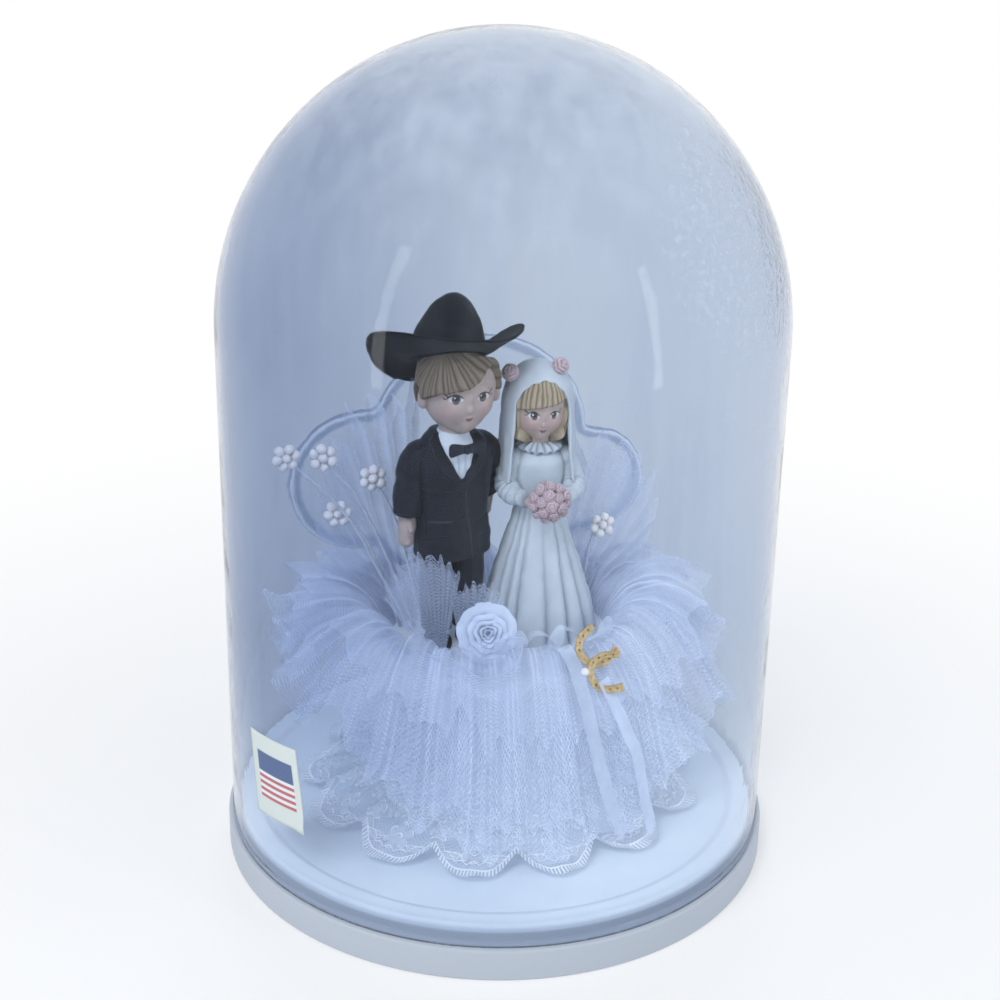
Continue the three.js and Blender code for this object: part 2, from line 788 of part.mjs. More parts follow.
// One horseshoe lying in XY, its open end towards +Y.
function horseshoe(depthFrom) {
  const { outer, band, thickness, legs } = shoeCharm;
  const inner = outer - band;
  const outline = new THREE.Shape();
  outline.moveTo(outer, legs);
  outline.lineTo(outer, 0);
  outline.absarc(0, 0, outer, 0, halfTurn, true);
  outline.lineTo(-outer, legs);
  outline.lineTo(-inner, legs);
  outline.lineTo(-inner, 0);
  outline.absarc(0, 0, inner, halfTurn, 0, false);
  outline.lineTo(inner, legs);
  const geometry = extruded(outline, thickness, 8);
  geometry.translate(0, 0, depthFrom);
  return geometry;
}

function buildCharm() {
  const group = new THREE.Group();
  const seat = new THREE.Matrix4().makeRotationFromEuler(new THREE.Euler(charmLean, 0, charmFacing, 'ZYX'));
  seat.setPosition(rufflePoint(nearestCrest(charmAngle), charmSeatShare).add(charmOffset));
  const loops = loopAngles.map((angle) => standingLoop(angle, loopOval(fitGap), loop.width + 2 * fitGap));
  const laid = (geometry) => cutBy(seatedOnNet(geometry.applyMatrix4(seat)), ...loops);
  const first = horseshoe(0);
  first.rotateZ(shoeTurns[0]);
  first.translate(-shoeCharm.shiftAcross, shoeCharm.shiftUp, 0);
  const second = horseshoe(shoeCharm.thickness + shoeCharm.layer);
  second.rotateZ(shoeTurns[1]);
  second.translate(shoeCharm.shiftAcross, -shoeCharm.shiftUp, 0);
  const front = 2 * shoeCharm.thickness + shoeCharm.layer + fitGap + charmPearlRadius;
  const bead = ball(at(shoeCharm.band / 2 - shoeCharm.outer, -shoeCharm.shiftUp, front), charmPearlRadius);
  group.add(piece('horseshoe_1', laid(first), colours.gold, 0.35, 0.9));
  group.add(piece('horseshoe_2', laid(second), colours.gold, 0.35, 0.9));
  group.add(piece('charm_pearl', laid(bead), colours.pearl, 0.3));
  return group;
}

// A ribbon tail: it runs down a crest of the net, drops to the lace and lies on it to its end.
function buildTail(name, tail) {
  const [netAngle, laceAngle] = tail.angles.map(THREE.MathUtils.degToRad);
  const crest = nearestCrest(netAngle);
  const sideways = at(-Math.sin(crest), Math.cos(crest), 0);
  const up = at(Math.cos(crest), Math.sin(crest), 1).normalize();
  const line = [];
  const [dropSteps, restSteps] = [8, 2];
  for (let i = 0; i <= dropSteps; i += 1) {
    const share = tail.startShare + (ribbonEdgeShare - tail.startShare) * (i / dropSteps);
    line.push(rufflePoint(crest, share).addScaledVector(up, 4 * fitGap));
  }
  for (let i = 0; i <= restSteps; i += 1) {
    const share = tail.restShare + (tail.endShare - tail.restShare) * (i / restSteps);
    const point = lacePoint(laceAngle, share);
    point.z = laceHeight(share) + lace.foldHeight + 3 * fitGap;
    line.push(point);
  }
  const route = new THREE.CatmullRomCurve3(line);
  const place = (u, v, side) => route.getPointAt(v)
    .addScaledVector(sideways, (u - 1 / 2) * ribbon.width)
    .addScaledVector(up, side * ribbon.thickness);
  return piece(name, sheet(place, 2, 18), colours.satin, 0.4);
}

// Pearl sprays

function buildSpray(name, spray) {
  const flower = at(base.radius * spray.outShare, spray.y, stageTop + spray.height);
  const foot = at(spray.footX, spray.footY, stageTop + fitGap + pearl.stemRadius / 2);
  const middle = foot.clone().lerp(flower, 1 / 2);
  middle.z += sprayBow;
  const stem = rod([foot, middle, flower], pearl.stemRadius, 6, 4);
  const beads = [ball(flower, pearl.coreRadius, pearl.coreDepth, pearl.coreRadius, pearlsInRing)];
  for (let i = 0; i < pearlsInRing; i += 1) {
    const angle = spray.turn + (i / pearlsInRing) * fullTurn;
    const bead = at(
      flower.x + pearl.ringRadius * Math.cos(angle),
      flower.y,
      flower.z + pearl.ringRadius * Math.sin(angle),
    );
    beads.push(ball(bead, pearl.radius, pearl.radius, pearl.radius, 6));
  }
  return piece(name, fused(stem, ...beads), colours.pearl, 0.3);
}

// A figure's own frame on the stage
function frameOf({ x, y, turn }) {
  return new THREE.Matrix4().makeRotationZ(turn).setPosition(x, y, stageTop);
}

// Groom

function groomJacketForm(grow = 0) {
  return turned({ ...groom.jacket, bottom: jacketBottom }, jacketShares, { grow });
}

function groomHeadForm(grow = 0) {
  return ball(
    at(groomHead.x, groomHead.y, groomHead.height),
    groomHead.halfWidth + grow,
    groomHead.halfDepth + grow,
    groomHead.halfHeight + grow,
    formSides,
  );
}

function buildGroomShoe(name, side) {
  const { shoe } = groom;
  const body = ball(at(side * shoe.apart, -shoe.forward, 0), shoe.halfWidth, shoe.halfDepth, shoe.height);
  const reach = shoe.halfDepth + shoe.forward + cutOverrun;
  const low = at(-reach - shoe.apart, -reach, -shoe.height - cutOverrun);
  const below = block(low, at(reach + shoe.apart, reach, 0));
  return piece(name, cutBy(body, below, ...brideForms()), colours.blackBisque, 0.6);
}

function buildTrousers() {
  const { legs, shoe } = groom;
  const bottom = shoe.height + fitGap;
  const height = legs.top - bottom;
  const leg = (side) => turned({ ...legs, x: side * legs.apart, bottom, height }, legShares);
  const legPair = cutBy(fused(leg(-1), leg(1)), ...brideForms());
  return piece('groom_trousers', legPair, colours.blackBisque, 0.7);
}

function buildJacket() {
  const collar = turned({
    halfWidth: groom.neck.radius + fitGap,
    halfDepth: groom.neck.radius + fitGap,
    bottom: groomNeckBottom - fitGap,
    height: groom.jacket.height,
  }, [[0, 0], [1, 0], [1, 1], [0, 1]]);
  return piece('groom_jacket', cutBy(groomJacketForm(), collar), colours.blackBisque, 0.65);
}

// The bride's forms with their clearance, moved into the groom's frame.
function brideForms() {
  const [shoulder, elbow] = brideArm(-1);
  const forms = [
    turned(bride.gown, gownShares, { sides: gownFlutes * 4, grow: fitGap }),
    brideBodiceForm(fitGap),
    rod([shoulder, elbow], bride.sleeve.radius + fitGap, 2),
    ball(shoulder, bride.sleeve.radius + fitGap),
    veilForm(-fitGap),
  ];
  const toGroom = frameOf(groom).invert().multiply(frameOf(bride));
  return forms.map((form) => form.applyMatrix4(toGroom));
}

function sleeveForm(side) {
  const { sleeve } = groom;
  const { halfWidth, halfDepth, height } = sleeve;
  const geometry = turned({ halfWidth, halfDepth, height }, sleeveShares);
  geometry.translate(0, 0, -height);
  return hung(geometry, side);
}

// An arm hangs from its shoulder. The left one swings back behind the bride.
function hung(geometry, side) {
  const { sleeve, jacket } = groom;
  geometry.rotateX(side > 0 ? groom.armSwing : 0);
  geometry.rotateY(side * -groom.sleeveLean);
  const out = jacket.halfWidth + sleeve.outset;
  geometry.translate(side * out, sleeve.back, jacketTop - sleeve.shoulderDrop);
  return geometry;
}

function buildSleeve(name, side) {
  const geometry = cutBy(sleeveForm(side), groomJacketForm(fitGap), ...brideForms());
  return piece(name, geometry, colours.blackBisque, 0.65);
}

function buildGroomHand(name, side) {
  const { hand, sleeve } = groom;
  const { halfWidth, halfDepth, height } = hand;
  const geometry = turned({ halfWidth, halfDepth, height }, handShares);
  geometry.translate(0, -hand.forward, -height - sleeve.height - fitGap);
  const palm = cutBy(hung(geometry, side), groomJacketForm(fitGap), ...brideForms());
  return piece(name, palm, colours.skin, 0.6);
}

// The shirt front is a thin V of the jacket's own surface, standing just off it.
function buildShirt() {
  const { shirt, jacket, neck } = groom;
  const shell = cutBy(groomJacketForm(fitGap + shirt.thickness), groomJacketForm(fitGap));
  const wedge = new THREE.Shape([
    new THREE.Vector2(0, jacketTop - shirt.drop),
    new THREE.Vector2(shirt.halfWidth, jacketTop + shirt.over),
    new THREE.Vector2(-shirt.halfWidth, jacketTop + shirt.over),
  ]);
  const prism = extruded(wedge, 2 * jacket.halfDepth);
  prism.rotateX(halfTurn / 2);
  prism.translate(0, -neck.radius - fitGap, 0);
  return piece('groom_shirt', shared(shell, prism), colours.whiteBisque, 0.6);
}

function buildBowTie() {
  const { bow, jacket } = groom;
  const wing = (side) => ball(
    at((side * bow.halfWidth) / 2, 0, 0),
    bow.halfWidth / 2 + fitGap,
    bow.halfDepth,
    bow.halfHeight,
  );
  const tie = fused(wing(-1), wing(1), ball(at(0, 0, 0), bow.knot, bow.halfDepth + fitGap, bow.knot));
  tie.translate(0, bow.inset - jacket.halfDepth - bow.halfDepth, jacketTop - bow.drop);
  const clear = groomJacketForm(2 * fitGap + groom.shirt.thickness);
  return piece('groom_bow_tie', cutBy(tie, clear), colours.blackBisque, 0.5);
}

function buildGroomHead() {
  const { neck } = groom;
  const front = groomHead.y - groomHead.halfDepth;
  const nose = ball(at(groomHead.x, front, groomHead.height - groomHead.nose), groomHead.nose);
  const ear = (side) => ball(
    at(groomHead.x + side * groomHead.halfWidth, groomHead.y, groomHead.height - groomHead.ear),
    groomHead.ear / 2,
    groomHead.ear,
    groomHead.ear,
  );
  const throat = turned({
    halfWidth: neck.radius,
    halfDepth: neck.radius,
    bottom: groomNeckBottom,
    height: groomHead.height - groomNeckBottom,
  }, [[0, 0], [1, 0], [1, 1], [0, 1]]);
  return piece('groom_head', fused(groomHeadForm(), nose, ear(-1), ear(1), throat), colours.skin, 0.55);
}

// Hair is a shell over the head, cut away below the fringe in front and below the ears at the sides.
function hairCap(head, form, frontHeight, backHeight) {
  const shell = cutBy(form(fitGap + head.hairThickness), form(fitGap));
  const reach = head.halfWidth * 2;
  const face = block(
    at(head.x - reach, head.y - reach, head.height - reach),
    at(head.x + reach, head.y - head.halfDepth / 4, head.height + frontHeight),
  );
  const nape = block(
    at(head.x - reach, head.y - reach, head.height - 2 * reach),
    at(head.x + reach, head.y + reach, head.height + backHeight),
  );
  return cutBy(shell, face, nape);
}

function buildGroomHair() {
  const ears = [-1, 1].map((side) => ball(
    at(groomHead.x + side * groomHead.halfWidth, groomHead.y, groomHead.height - groomHead.ear),
    groomHead.ear / 2 + groomHead.hairThickness,
    groomHead.ear + fitGap,
    groomHead.ear + fitGap,
  ));
  const { fringeHeight, sideHeight } = groomHead;
  const cap = hairCap(groomHead, groomHeadForm, fringeHeight, sideHeight);
  return piece('groom_hair', cutBy(cap, ...ears), colours.blond, 0.6);
}

// The hat's crown is round and leans back a little as it rises.
function hatCrown() {
  const crownRows = 5;
  const under = hat.brimThickness / hat.crownHeight;
  const shares = [[0, -under], [1, -under]];
  for (let row = 0; row <= crownRows; row += 1) {
    const rise = row / crownRows;
    shares.push([(1 - rise ** hat.crownRound) ** hat.crownShoulder * (1 - hat.crownNarrow * rise), rise]);
  }
  const shape = { halfWidth: hat.crownHalfWidth, halfDepth: hat.crownHalfDepth, height: hat.crownHeight };
  const crown = closed(turned(shape, shares));
  const position = crown.getAttribute('position');
  for (let i = 0; i < position.count; i += 1) {
    const rise = Math.max(position.getZ(i) / hat.crownHeight, 0) ** hat.crownBend;
    position.setX(i, position.getX(i) + hat.crownLeanX * rise);
    position.setY(i, position.getY(i) + hat.crownLeanY * rise);
  }
  return crown;
}

function hatBrimPoint(turn, out) {
  const sideways = Math.sin(turn);
  const forward = Math.cos(turn);
  const inside = 0.9;
  const halfWidth = inside * hat.crownHalfWidth * (1 - out) + hat.brimHalfWidth * out;
  const halfDepth = inside * hat.crownHalfDepth * (1 - out) + hat.brimHalfDepth * out;
  const curl = (sideways < 0 ? hat.curlLeft : hat.curlRight) * Math.abs(sideways) ** 2.3;
  const dip = forward > 0 ? -hat.frontRise : hat.backDrop;
  const rise = curl * out ** hatCurl - dip * forward ** 2 * out;
  return at(halfWidth * sideways, -halfDepth * forward, rise);
}

function hatGeometry() {
  const brim = sheet((u, v, side) => {
    const point = hatBrimPoint(u * fullTurn, v);
    point.z -= (1 - side) * hat.brimThickness;
    return point;
  }, 24, 3, true);
  const geometry = fused(hatCrown(), brim);
  geometry.rotateX(-hatPitch);
  geometry.rotateY(hatRoll);
  geometry.rotateZ(hatTurn);
  geometry.translate(hat.x, 0, hat.height);
  return geometry;
}

function buildHat() {
  const clear = groomHeadForm(2 * fitGap + groomHead.hairThickness);
  return piece('groom_hat', cutBy(hatGeometry(), clear), colours.felt, 0.95);
}

function buildGroom() {
  const group = new THREE.Group();
  group.position.set(groom.x, groom.y, stageTop);
  group.rotation.z = groom.turn;
  group.add(
    buildGroomShoe('groom_shoe_right', -1),
    buildGroomShoe('groom_shoe_left', 1),
    buildTrousers(),
    buildJacket(),
    buildSleeve('groom_sleeve_right', -1),
    buildSleeve('groom_sleeve_left', 1),
    buildGroomHand('groom_hand_right', -1),
    buildGroomHand('groom_hand_left', 1),
    buildShirt(),
    buildBowTie(),
    buildGroomHead(),
    buildGroomHair(),
    buildHat(),
  );
  return group;
}

// Bride

function brideBodiceForm(grow = 0) {
  return turned({ ...bride.bodice, bottom: bodiceBottom }, bodiceShares, { grow });
}

function brideHeadForm(grow = 0) {
  return ball(
    at(brideHead.x, brideHead.y, brideHead.height),
    brideHead.halfWidth + grow,
    brideHead.halfDepth + grow,
    brideHead.halfHeight + grow,
    formSides,
  );
}

// The gown flares to the stage and its skirt is fluted.
function buildGown() {
  const geometry = closed(turned(bride.gown, gownShares, { sides: gownFlutes * 4 }));
  const position = geometry.getAttribute('position');
  for (let i = 0; i < position.count; i += 1) {
    const x = position.getX(i);
    const y = position.getY(i);
    const radius = Math.hypot(x, y);
    const low = 1 - position.getZ(i) / bride.gown.height;
    const flute = bride.gown.flute * low * Math.cos(gownFlutes * Math.atan2(y, x));
    const grown = radius > fitGap ? (radius - bride.gown.flute * low + flute) / radius : 1;
    position.setXY(i, x * grown, y * grown);
  }
  return piece('bride_gown', geometry, colours.whiteBisque, 0.6);
}

function buildBodice() {
  const throat = turned({
    halfWidth: bride.neck.radius + fitGap,
    halfDepth: bride.neck.radius + fitGap,
    bottom: brideNeckBottom - fitGap,
    height: bride.bodice.height,
  }, [[0, 0], [1, 0], [1, 1], [0, 1]]);
  return piece('bride_bodice', cutBy(brideBodiceForm(), throat), colours.whiteBisque, 0.6);
}

function brideArm(side) {
  const { bodice, sleeve, wrist } = bride;
  return [
    at(side * (bodice.halfWidth - sleeve.shoulderInset), 0, bodiceTop - sleeve.shoulderDrop),
    at(side * (bodice.halfWidth + sleeve.elbowOutset), -sleeve.radius / 2, bodiceBottom + sleeve.elbowRise),
    at(side * wrist.out, -wrist.forward, bodiceBottom + wrist.rise),
  ];
}

function brideArmForm(side, grow = 0) {
  const { sleeve, wrist } = bride;
  const [shoulder, elbow, cuff] = brideArm(side);
  return fused(
    rod([shoulder, elbow], sleeve.radius + grow, 1),
    rod([elbow, cuff.clone().lerp(elbow, -grow / wrist.forward)], wrist.radius + grow, 1),
    ball(shoulder, sleeve.radius + grow),
    ball(elbow, sleeve.radius + grow),
  );
}

function buildBrideSleeve(name, side) {
  const arm = cutBy(brideArmForm(side), brideBodiceForm(fitGap), collarForm(fitGap));
  return piece(name, arm, colours.whiteBisque, 0.6);
}

function buildBrideHand(name, side) {
  const { hand } = bride;
  const palm = ball(at(side * hand.out, -hand.forward, bodiceBottom + hand.rise), hand.radius);
  return piece(name, cutBy(palm, brideArmForm(side, fitGap), bouquetForm(fitGap)), colours.skin, 0.6);
}

// The bouquet is a ball of blooms, one in the middle and the rest round it.
function bouquetForm(grow = 0) {
  const { bouquet } = bride;
  const centre = at(0, -bouquet.forward, bouquetHeight);
  const blooms = [ball(centre, bouquet.radius - bouquet.bloom / 2 + grow)];
  for (let i = 0; i < bouquetBlooms; i += 1) {
    const angle = (i / bouquetBlooms) * fullTurn;
    const out = bouquet.radius - bouquet.bloom;
    const forward = bouquet.forward + bouquet.bloom / 2;
    const bloom = at(out * Math.cos(angle), -forward, bouquetHeight + out * Math.sin(angle));
    blooms.push(ball(bloom, bouquet.bloom + grow));
  }
  return fused(...blooms);
}

function buildBouquet() {
  return piece('bride_bouquet', bouquetForm(), colours.pink, 0.65);
}

function collarForm(grow = 0) {
  const { collar } = bride;
  const ring = new THREE.TorusGeometry(collar.radius, collar.tube + grow, 6, formSides);
  ring.translate(0, 0, bodiceTop + collar.rise);
  return ring;
}

function buildCollar() {
  const geometry = cutBy(collarForm(), brideBodiceForm(fitGap), brideHeadForm(fitGap));
  return piece('bride_collar', geometry, colours.whiteBisque, 0.6);
}

function buildBrideHead() {
  const { neck } = bride;
  const front = brideHead.y - brideHead.halfDepth;
  const nose = ball(at(brideHead.x, front, brideHead.height - brideHead.nose), brideHead.nose);
  const throat = turned({
    halfWidth: neck.radius,
    halfDepth: neck.radius,
    bottom: brideNeckBottom,
    height: brideHead.height - brideNeckBottom,
  }, [[0, 0], [1, 0], [1, 1], [0, 1]]);
  return piece('bride_head', fused(brideHeadForm(), nose, throat), colours.skin, 0.55);
}

function buildBrideHair() {
  const cap = hairCap(brideHead, brideHeadForm, brideHead.fringeHeight, -brideHead.bobDrop);
  return piece('bride_hair', cap, colours.blond, 0.6);
}

// The veil's outer form, or what is left inside it at an inset. Below the hem both run on alike.
function veilForm(inset) {
  const overrun = inset === 0 ? 0 : cutOverrun;
  const shell = {
    x: brideHead.x,
    y: veil.back,
    bottom: veil.bottom - overrun,
    halfWidth: veil.halfWidth - inset,
    halfDepth: veil.halfDepth - inset,
    height: veil.top - veil.bottom - inset + overrun,
  };
  return turned(shell, [[0, 0], ...[...veilShares].reverse()]);
}

function buildVeil() {
  const brow = brideHead.height + brideHead.halfHeight - brideHead.hairThickness;
  const opening = block(
    at(brideHead.x - veil.openHalfWidth, -2 * veil.halfDepth, veil.bottom - cutOverrun),
    at(brideHead.x + veil.openHalfWidth, brideHead.y, brow),
  );
  const arms = [-1, 1].map((side) => brideArmForm(side, fitGap));
  const hair = brideHeadForm(2 * fitGap + brideHead.hairThickness);
  const cloth = cutBy(veilForm(0), veilForm(veil.thickness), opening, ...arms, hair);
  return piece('bride_veil', cloth, colours.whiteBisque, 0.6);
}

function buildVeilRose(name, side, place) {
  const bloom = ball(
    at(brideHead.x + side * place.out, veil.back - veilRose.forward, brideHead.height + place.rise),
    veilRose.radius,
    veilRose.radius,
    veilRose.radius,
  );
  return piece(name, cutBy(bloom, veilForm(-fitGap)), colours.pink, 0.65);
}

function buildBride() {
  const group = new THREE.Group();
  group.position.set(bride.x, bride.y, stageTop);
  group.rotation.z = bride.turn;
  group.add(
    buildGown(),
    buildBodice(),
    buildCollar(),
    buildBrideSleeve('bride_sleeve_right', -1),
    buildBrideSleeve('bride_sleeve_left', 1),
    buildBrideHand('bride_hand_right', -1),
    buildBrideHand('bride_hand_left', 1),
    buildBouquet(),
    buildBrideHead(),
    buildBrideHair(),
    buildVeil(),
    buildVeilRose('veil_rose_left', -1, veilRose.left),
    buildVeilRose('veil_rose_right', 1, veilRose.right),
  );
  return group;
}

// The whole topper stands on the floor of the base's recess.
function buildTopper() {
  const topper = new THREE.Group();
  topper.position.z = base.platformHeight - base.recessDepth;
  topper.add(
    buildPlate(),
    buildRiser(),
    buildStage(),
    buildBackdrop(),
    buildLace(),
    buildRuffle(),
    buildFan('tulle_fan_left', fanLeft, fanLeftAngles, fanLeftReachShares, 7),
    buildFan('tulle_fan_right', fanRight, fanRightAngles, fanRightReachShares, 7),
    buildFan('tulle_tuft_left', tuftLeft, tuftLeftAngles, tuftReachShares, 4),
    buildFan('tulle_tuft_middle', tuftMiddle, tuftMiddleAngles, tuftReachShares, 4),
    buildRose(),
    buildLoop('ribbon_loop_1', loopAngles[0]),
    buildLoop('ribbon_loop_2', loopAngles[1]),
    buildCharm(),
    buildTail('ribbon_tail_1', tails[0]),
    buildTail('ribbon_tail_2', tails[1]),
    buildGroom(),
    buildBride(),
  );
  sprays.forEach((spray, i) => topper.add(buildSpray(`pearl_spray_${i + 1}`, spray)));
  return topper;
}

const part = new THREE.Group();
part.add(buildBase(), buildDome(), buildLabel(), buildTopper());

export default part;
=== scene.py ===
"""A wedding cake topper under a clear dome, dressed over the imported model.

Shapes are worked out in millimetres in the row frame: +Z up, the origin at the centre of the base's
underside, the couple facing -Y. They become metres when they are put into a mesh.
"""
import logging
import math
from dataclasses import dataclass, replace
from enum import Enum
from functools import partialmethod
from typing import Callable, Optional, Sequence, Union

import bmesh
import bpy
import numpy as np
from mathutils import Matrix, Vector


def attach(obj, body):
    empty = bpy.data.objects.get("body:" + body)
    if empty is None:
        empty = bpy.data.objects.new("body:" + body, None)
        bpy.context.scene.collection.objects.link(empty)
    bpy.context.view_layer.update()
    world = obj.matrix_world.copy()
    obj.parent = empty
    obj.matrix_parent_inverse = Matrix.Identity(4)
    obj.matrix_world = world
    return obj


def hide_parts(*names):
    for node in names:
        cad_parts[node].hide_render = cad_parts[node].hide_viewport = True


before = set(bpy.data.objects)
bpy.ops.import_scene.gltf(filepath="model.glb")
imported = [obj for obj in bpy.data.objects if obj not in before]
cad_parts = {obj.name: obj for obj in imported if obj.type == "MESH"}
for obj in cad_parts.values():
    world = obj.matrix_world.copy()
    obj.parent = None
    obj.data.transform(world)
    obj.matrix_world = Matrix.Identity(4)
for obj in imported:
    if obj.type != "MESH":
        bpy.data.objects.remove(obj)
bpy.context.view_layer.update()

LOG = logging.getLogger("topper")
MM = 0.001
TAU = 2 * math.pi
Array = np.ndarray
Material = bpy.types.Material
Number = Union[int, float]
Value = Union["Wire", Number]
Pair = tuple[float, float]
Triple = tuple[float, float, float]
Colour = Triple
Rows = Sequence[Sequence[float]]
Relief = Callable[[Array, Array, Array], Array]


# Surfaces


def spread(count: int, low: float = 0.0, high: float = 1.0) -> Array:
    """Evenly spaced values from low to high, both included."""
    return np.linspace(low, high, count)


def through(stops: Rows, at: Array) -> Array:
    """Smooth values through a list of stops.

    A cubic runs between each two stops, with the slope at a stop taken from its neighbours.

    Args:
        stops: (place, value, ...) rows, with the places rising.
        at: the places where the values are wanted.

    Returns:
        An array of at's length, with a column for each value.
    """
    table = np.asarray(stops, float)
    x, y = table[:, 0], table[:, 1:]
    slope = np.gradient(y, x, axis=0)
    i = np.clip(np.searchsorted(x, at, side="right") - 1, 0, len(x) - 2)
    h = (x[i + 1] - x[i])[:, None]
    s = np.clip((at[:, None] - x[i][:, None]) / h, 0, 1)
    rise = s * s * (3 - 2 * s)
    start, end = s * (1 - s) ** 2 * h, s * s * (s - 1) * h
    return y[i] * (1 - rise) + y[i + 1] * rise + slope[i] * start + slope[i + 1] * end


def step(low: float, high: float, value: Array) -> Array:
    """A smooth step from 0 at low to 1 at high."""
    s = np.clip((value - low) / (high - low), 0, 1)
    return s * s * (3 - 2 * s)


def bump(value: Array, half: float) -> Array:
    """A round hump: 1 at 0, and 0 from half onwards on both sides."""
    return (1 - np.clip(np.abs(value) / half, 0, 1) ** 2) ** 2


def waves(seed: int, count: int, *places: Array) -> Array:
    """Soft uneven relief: the mean of a few sine waves of seeded directions over the given places.

    Args:
        seed: for the waves' directions.
        count: how many waves.
        places: the coordinates they run over.

    Returns:
        Values from -1 to 1.
    """
    rng = np.random.default_rng(seed)
    total = np.zeros_like(places[0])
    for _ in range(count):
        phase = rng.uniform(0, TAU)
        for place in places:
            phase = phase + rng.normal() * place
        total = total + np.sin(phase)
    return total / count


def stacked(x: Array, y: Array, z: Array) -> Array:
    """Three arrays of coordinates joined into one array of points."""
    return np.stack(np.broadcast_arrays(x, y, z), axis=-1).astype(float)


def unit(vectors: Array) -> Array:
    """Vectors along the last axis, each made one long."""
    return vectors / np.linalg.norm(vectors, axis=-1, keepdims=True)


def spun(degrees: float, axis: str) -> Array:
    """The matrix of a turn about an axis."""
    return np.array(Matrix.Rotation(math.radians(degrees), 3, axis))


def run_length(path: Array) -> Array:
    """How far along a path each of its points lies."""
    return np.concatenate([[0], np.cumsum(np.linalg.norm(np.diff(path, axis=0), axis=1))])


@dataclass
class Surface:
    """Quads in millimetres.

    points are the corners, quads their indices, uv the pattern place of each corner, and place the corner
    in the piece's own coordinates, which its finish reads.
    """

    points: Array
    quads: Array
    uv: Array
    place: Array

    @classmethod
    def grid(cls, points: Array, uv: Optional[Array] = None) -> "Surface":
        """A sheet of rows by columns of points, each quad joining neighbours in both directions.

        Args:
            points: rows x columns x 3.
            uv: rows x columns x 2, or None for the share of the columns and of the rows.

        Returns:
            The surface.
        """
        rows, columns = points.shape[:2]
        if uv is None:
            uv = np.stack(np.meshgrid(spread(columns), spread(rows)), axis=-1)
        index = np.arange(rows * columns).reshape(rows, columns)
        quads = np.stack([index[:-1, :-1], index[:-1, 1:], index[1:, 1:], index[1:, :-1]], axis=-1)
        flat = points.reshape(-1, 3)
        return cls(flat, quads.reshape(-1, 4), uv.reshape(-1, 2), flat.copy())

    @classmethod
    def joined(cls, parts: Sequence["Surface"]) -> "Surface":
        """Several surfaces as one.

        Args:
            parts: the surfaces.

        Returns:
            Their corners and quads in one surface.
        """
        shift = np.cumsum([0] + [len(p.points) for p in parts[:-1]])
        return cls(
            np.concatenate([p.points for p in parts]),
            np.concatenate([p.quads + s for p, s in zip(parts, shift)]),
            np.concatenate([p.uv for p in parts]),
            np.concatenate([p.place for p in parts]),
        )

    def moved(self, matrix: Array, shift: Sequence[float] = (0, 0, 0)) -> "Surface":
        """The surface turned by a 3x3 matrix and then shifted. Its own coordinates stay as they were."""
        return replace(self, points=self.points @ np.asarray(matrix).T + np.asarray(shift, float))

    def own(self) -> "Surface":
        """The surface with its present corners as its own coordinates."""
        return replace(self, place=self.points.copy())

    def dense(self, share: Array) -> "Surface":
        """Writes how closely a cloth's threads lie, 0 to 1, beside its pattern as its own coordinates."""
        return replace(self, place=np.column_stack([self.uv, np.clip(share, 0, 1).ravel()]))

    def about(self, centre: Sequence[float]) -> "Surface":
        """The surface with its own coordinates counted from a centre."""
        return replace(self, place=self.place - np.asarray(centre, float))

    def marked(self, first: Array, second: Array) -> "Surface":
        """The surface with other pattern coordinates."""
        return replace(self, uv=np.stack([first, second], axis=1))

    def crease_shaded(self, depth: Optional[Relief] = None) -> "Surface":
        """Writes how deep each corner lies in a crease, 0 to 1, as the pattern's first coordinate, which
        the finishes paint as crease shading.
        """
        x, y, z = self.place.T
        values = 0 * x if depth is None else np.clip(depth(x, y, z), 0, 1)
        return self.marked(values, self.uv[:, 1])

    def make(
        self,
        name: str,
        finish: Material,
        slot: str,
        stands_for: str = "",
        body: str = "topper",
        closed: bool = True,
    ) -> bpy.types.Object:
        """Puts the surface into a mesh that rides on a body.

        Corners that lie on each other are merged, so seams and poles close, and a closed form's faces are
        turned outwards.

        Args:
            name: the piece's name.
            finish: its material.
            slot: the record's material slot of that finish; not used.
            stands_for: the CAD node that it replaces, if any.
            body: the CAD body it rides on.
            closed: whether it is a closed form.

        Returns:
            The object.
        """
        mesh = bpy.data.meshes.new(name)
        mesh.from_pydata((self.points * MM).tolist(), [], self.quads.tolist())
        layer = mesh.uv_layers.new(name="pattern")
        layer.data.foreach_set("uv", self.uv[self.quads.ravel()].ravel().astype(np.float32))
        place = mesh.attributes.new("place", "FLOAT_VECTOR", "POINT")
        place.data.foreach_set("vector", self.place.ravel().astype(np.float32))
        work = bmesh.new()
        work.from_mesh(mesh)
        bmesh.ops.remove_doubles(work, verts=work.verts, dist=2e-6)
        if closed:
            bmesh.ops.recalc_face_normals(work, faces=work.faces)
        work.to_mesh(mesh)
        work.free()
        mesh.polygons.foreach_set("use_smooth", np.ones(len(mesh.polygons), bool))
        mesh.materials.append(finish)
        piece = bpy.data.objects.new(name, mesh)
        bpy.context.scene.collection.objects.link(piece)
        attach(piece, body)
        if stands_for:
            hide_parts(stands_for)
        LOG.info("%s: %d faces", name, len(mesh.polygons))
        return piece


def turned(radii: Array, heights: Array, columns: int) -> Surface:
    """A round form: the profile of radii and heights turned about Z."""
    angle = spread(columns + 1, 0, TAU)[None, :]
    r, z = radii[:, None], heights[:, None]
    return Surface.grid(stacked(r * np.cos(angle), r * np.sin(angle), z + 0 * angle))


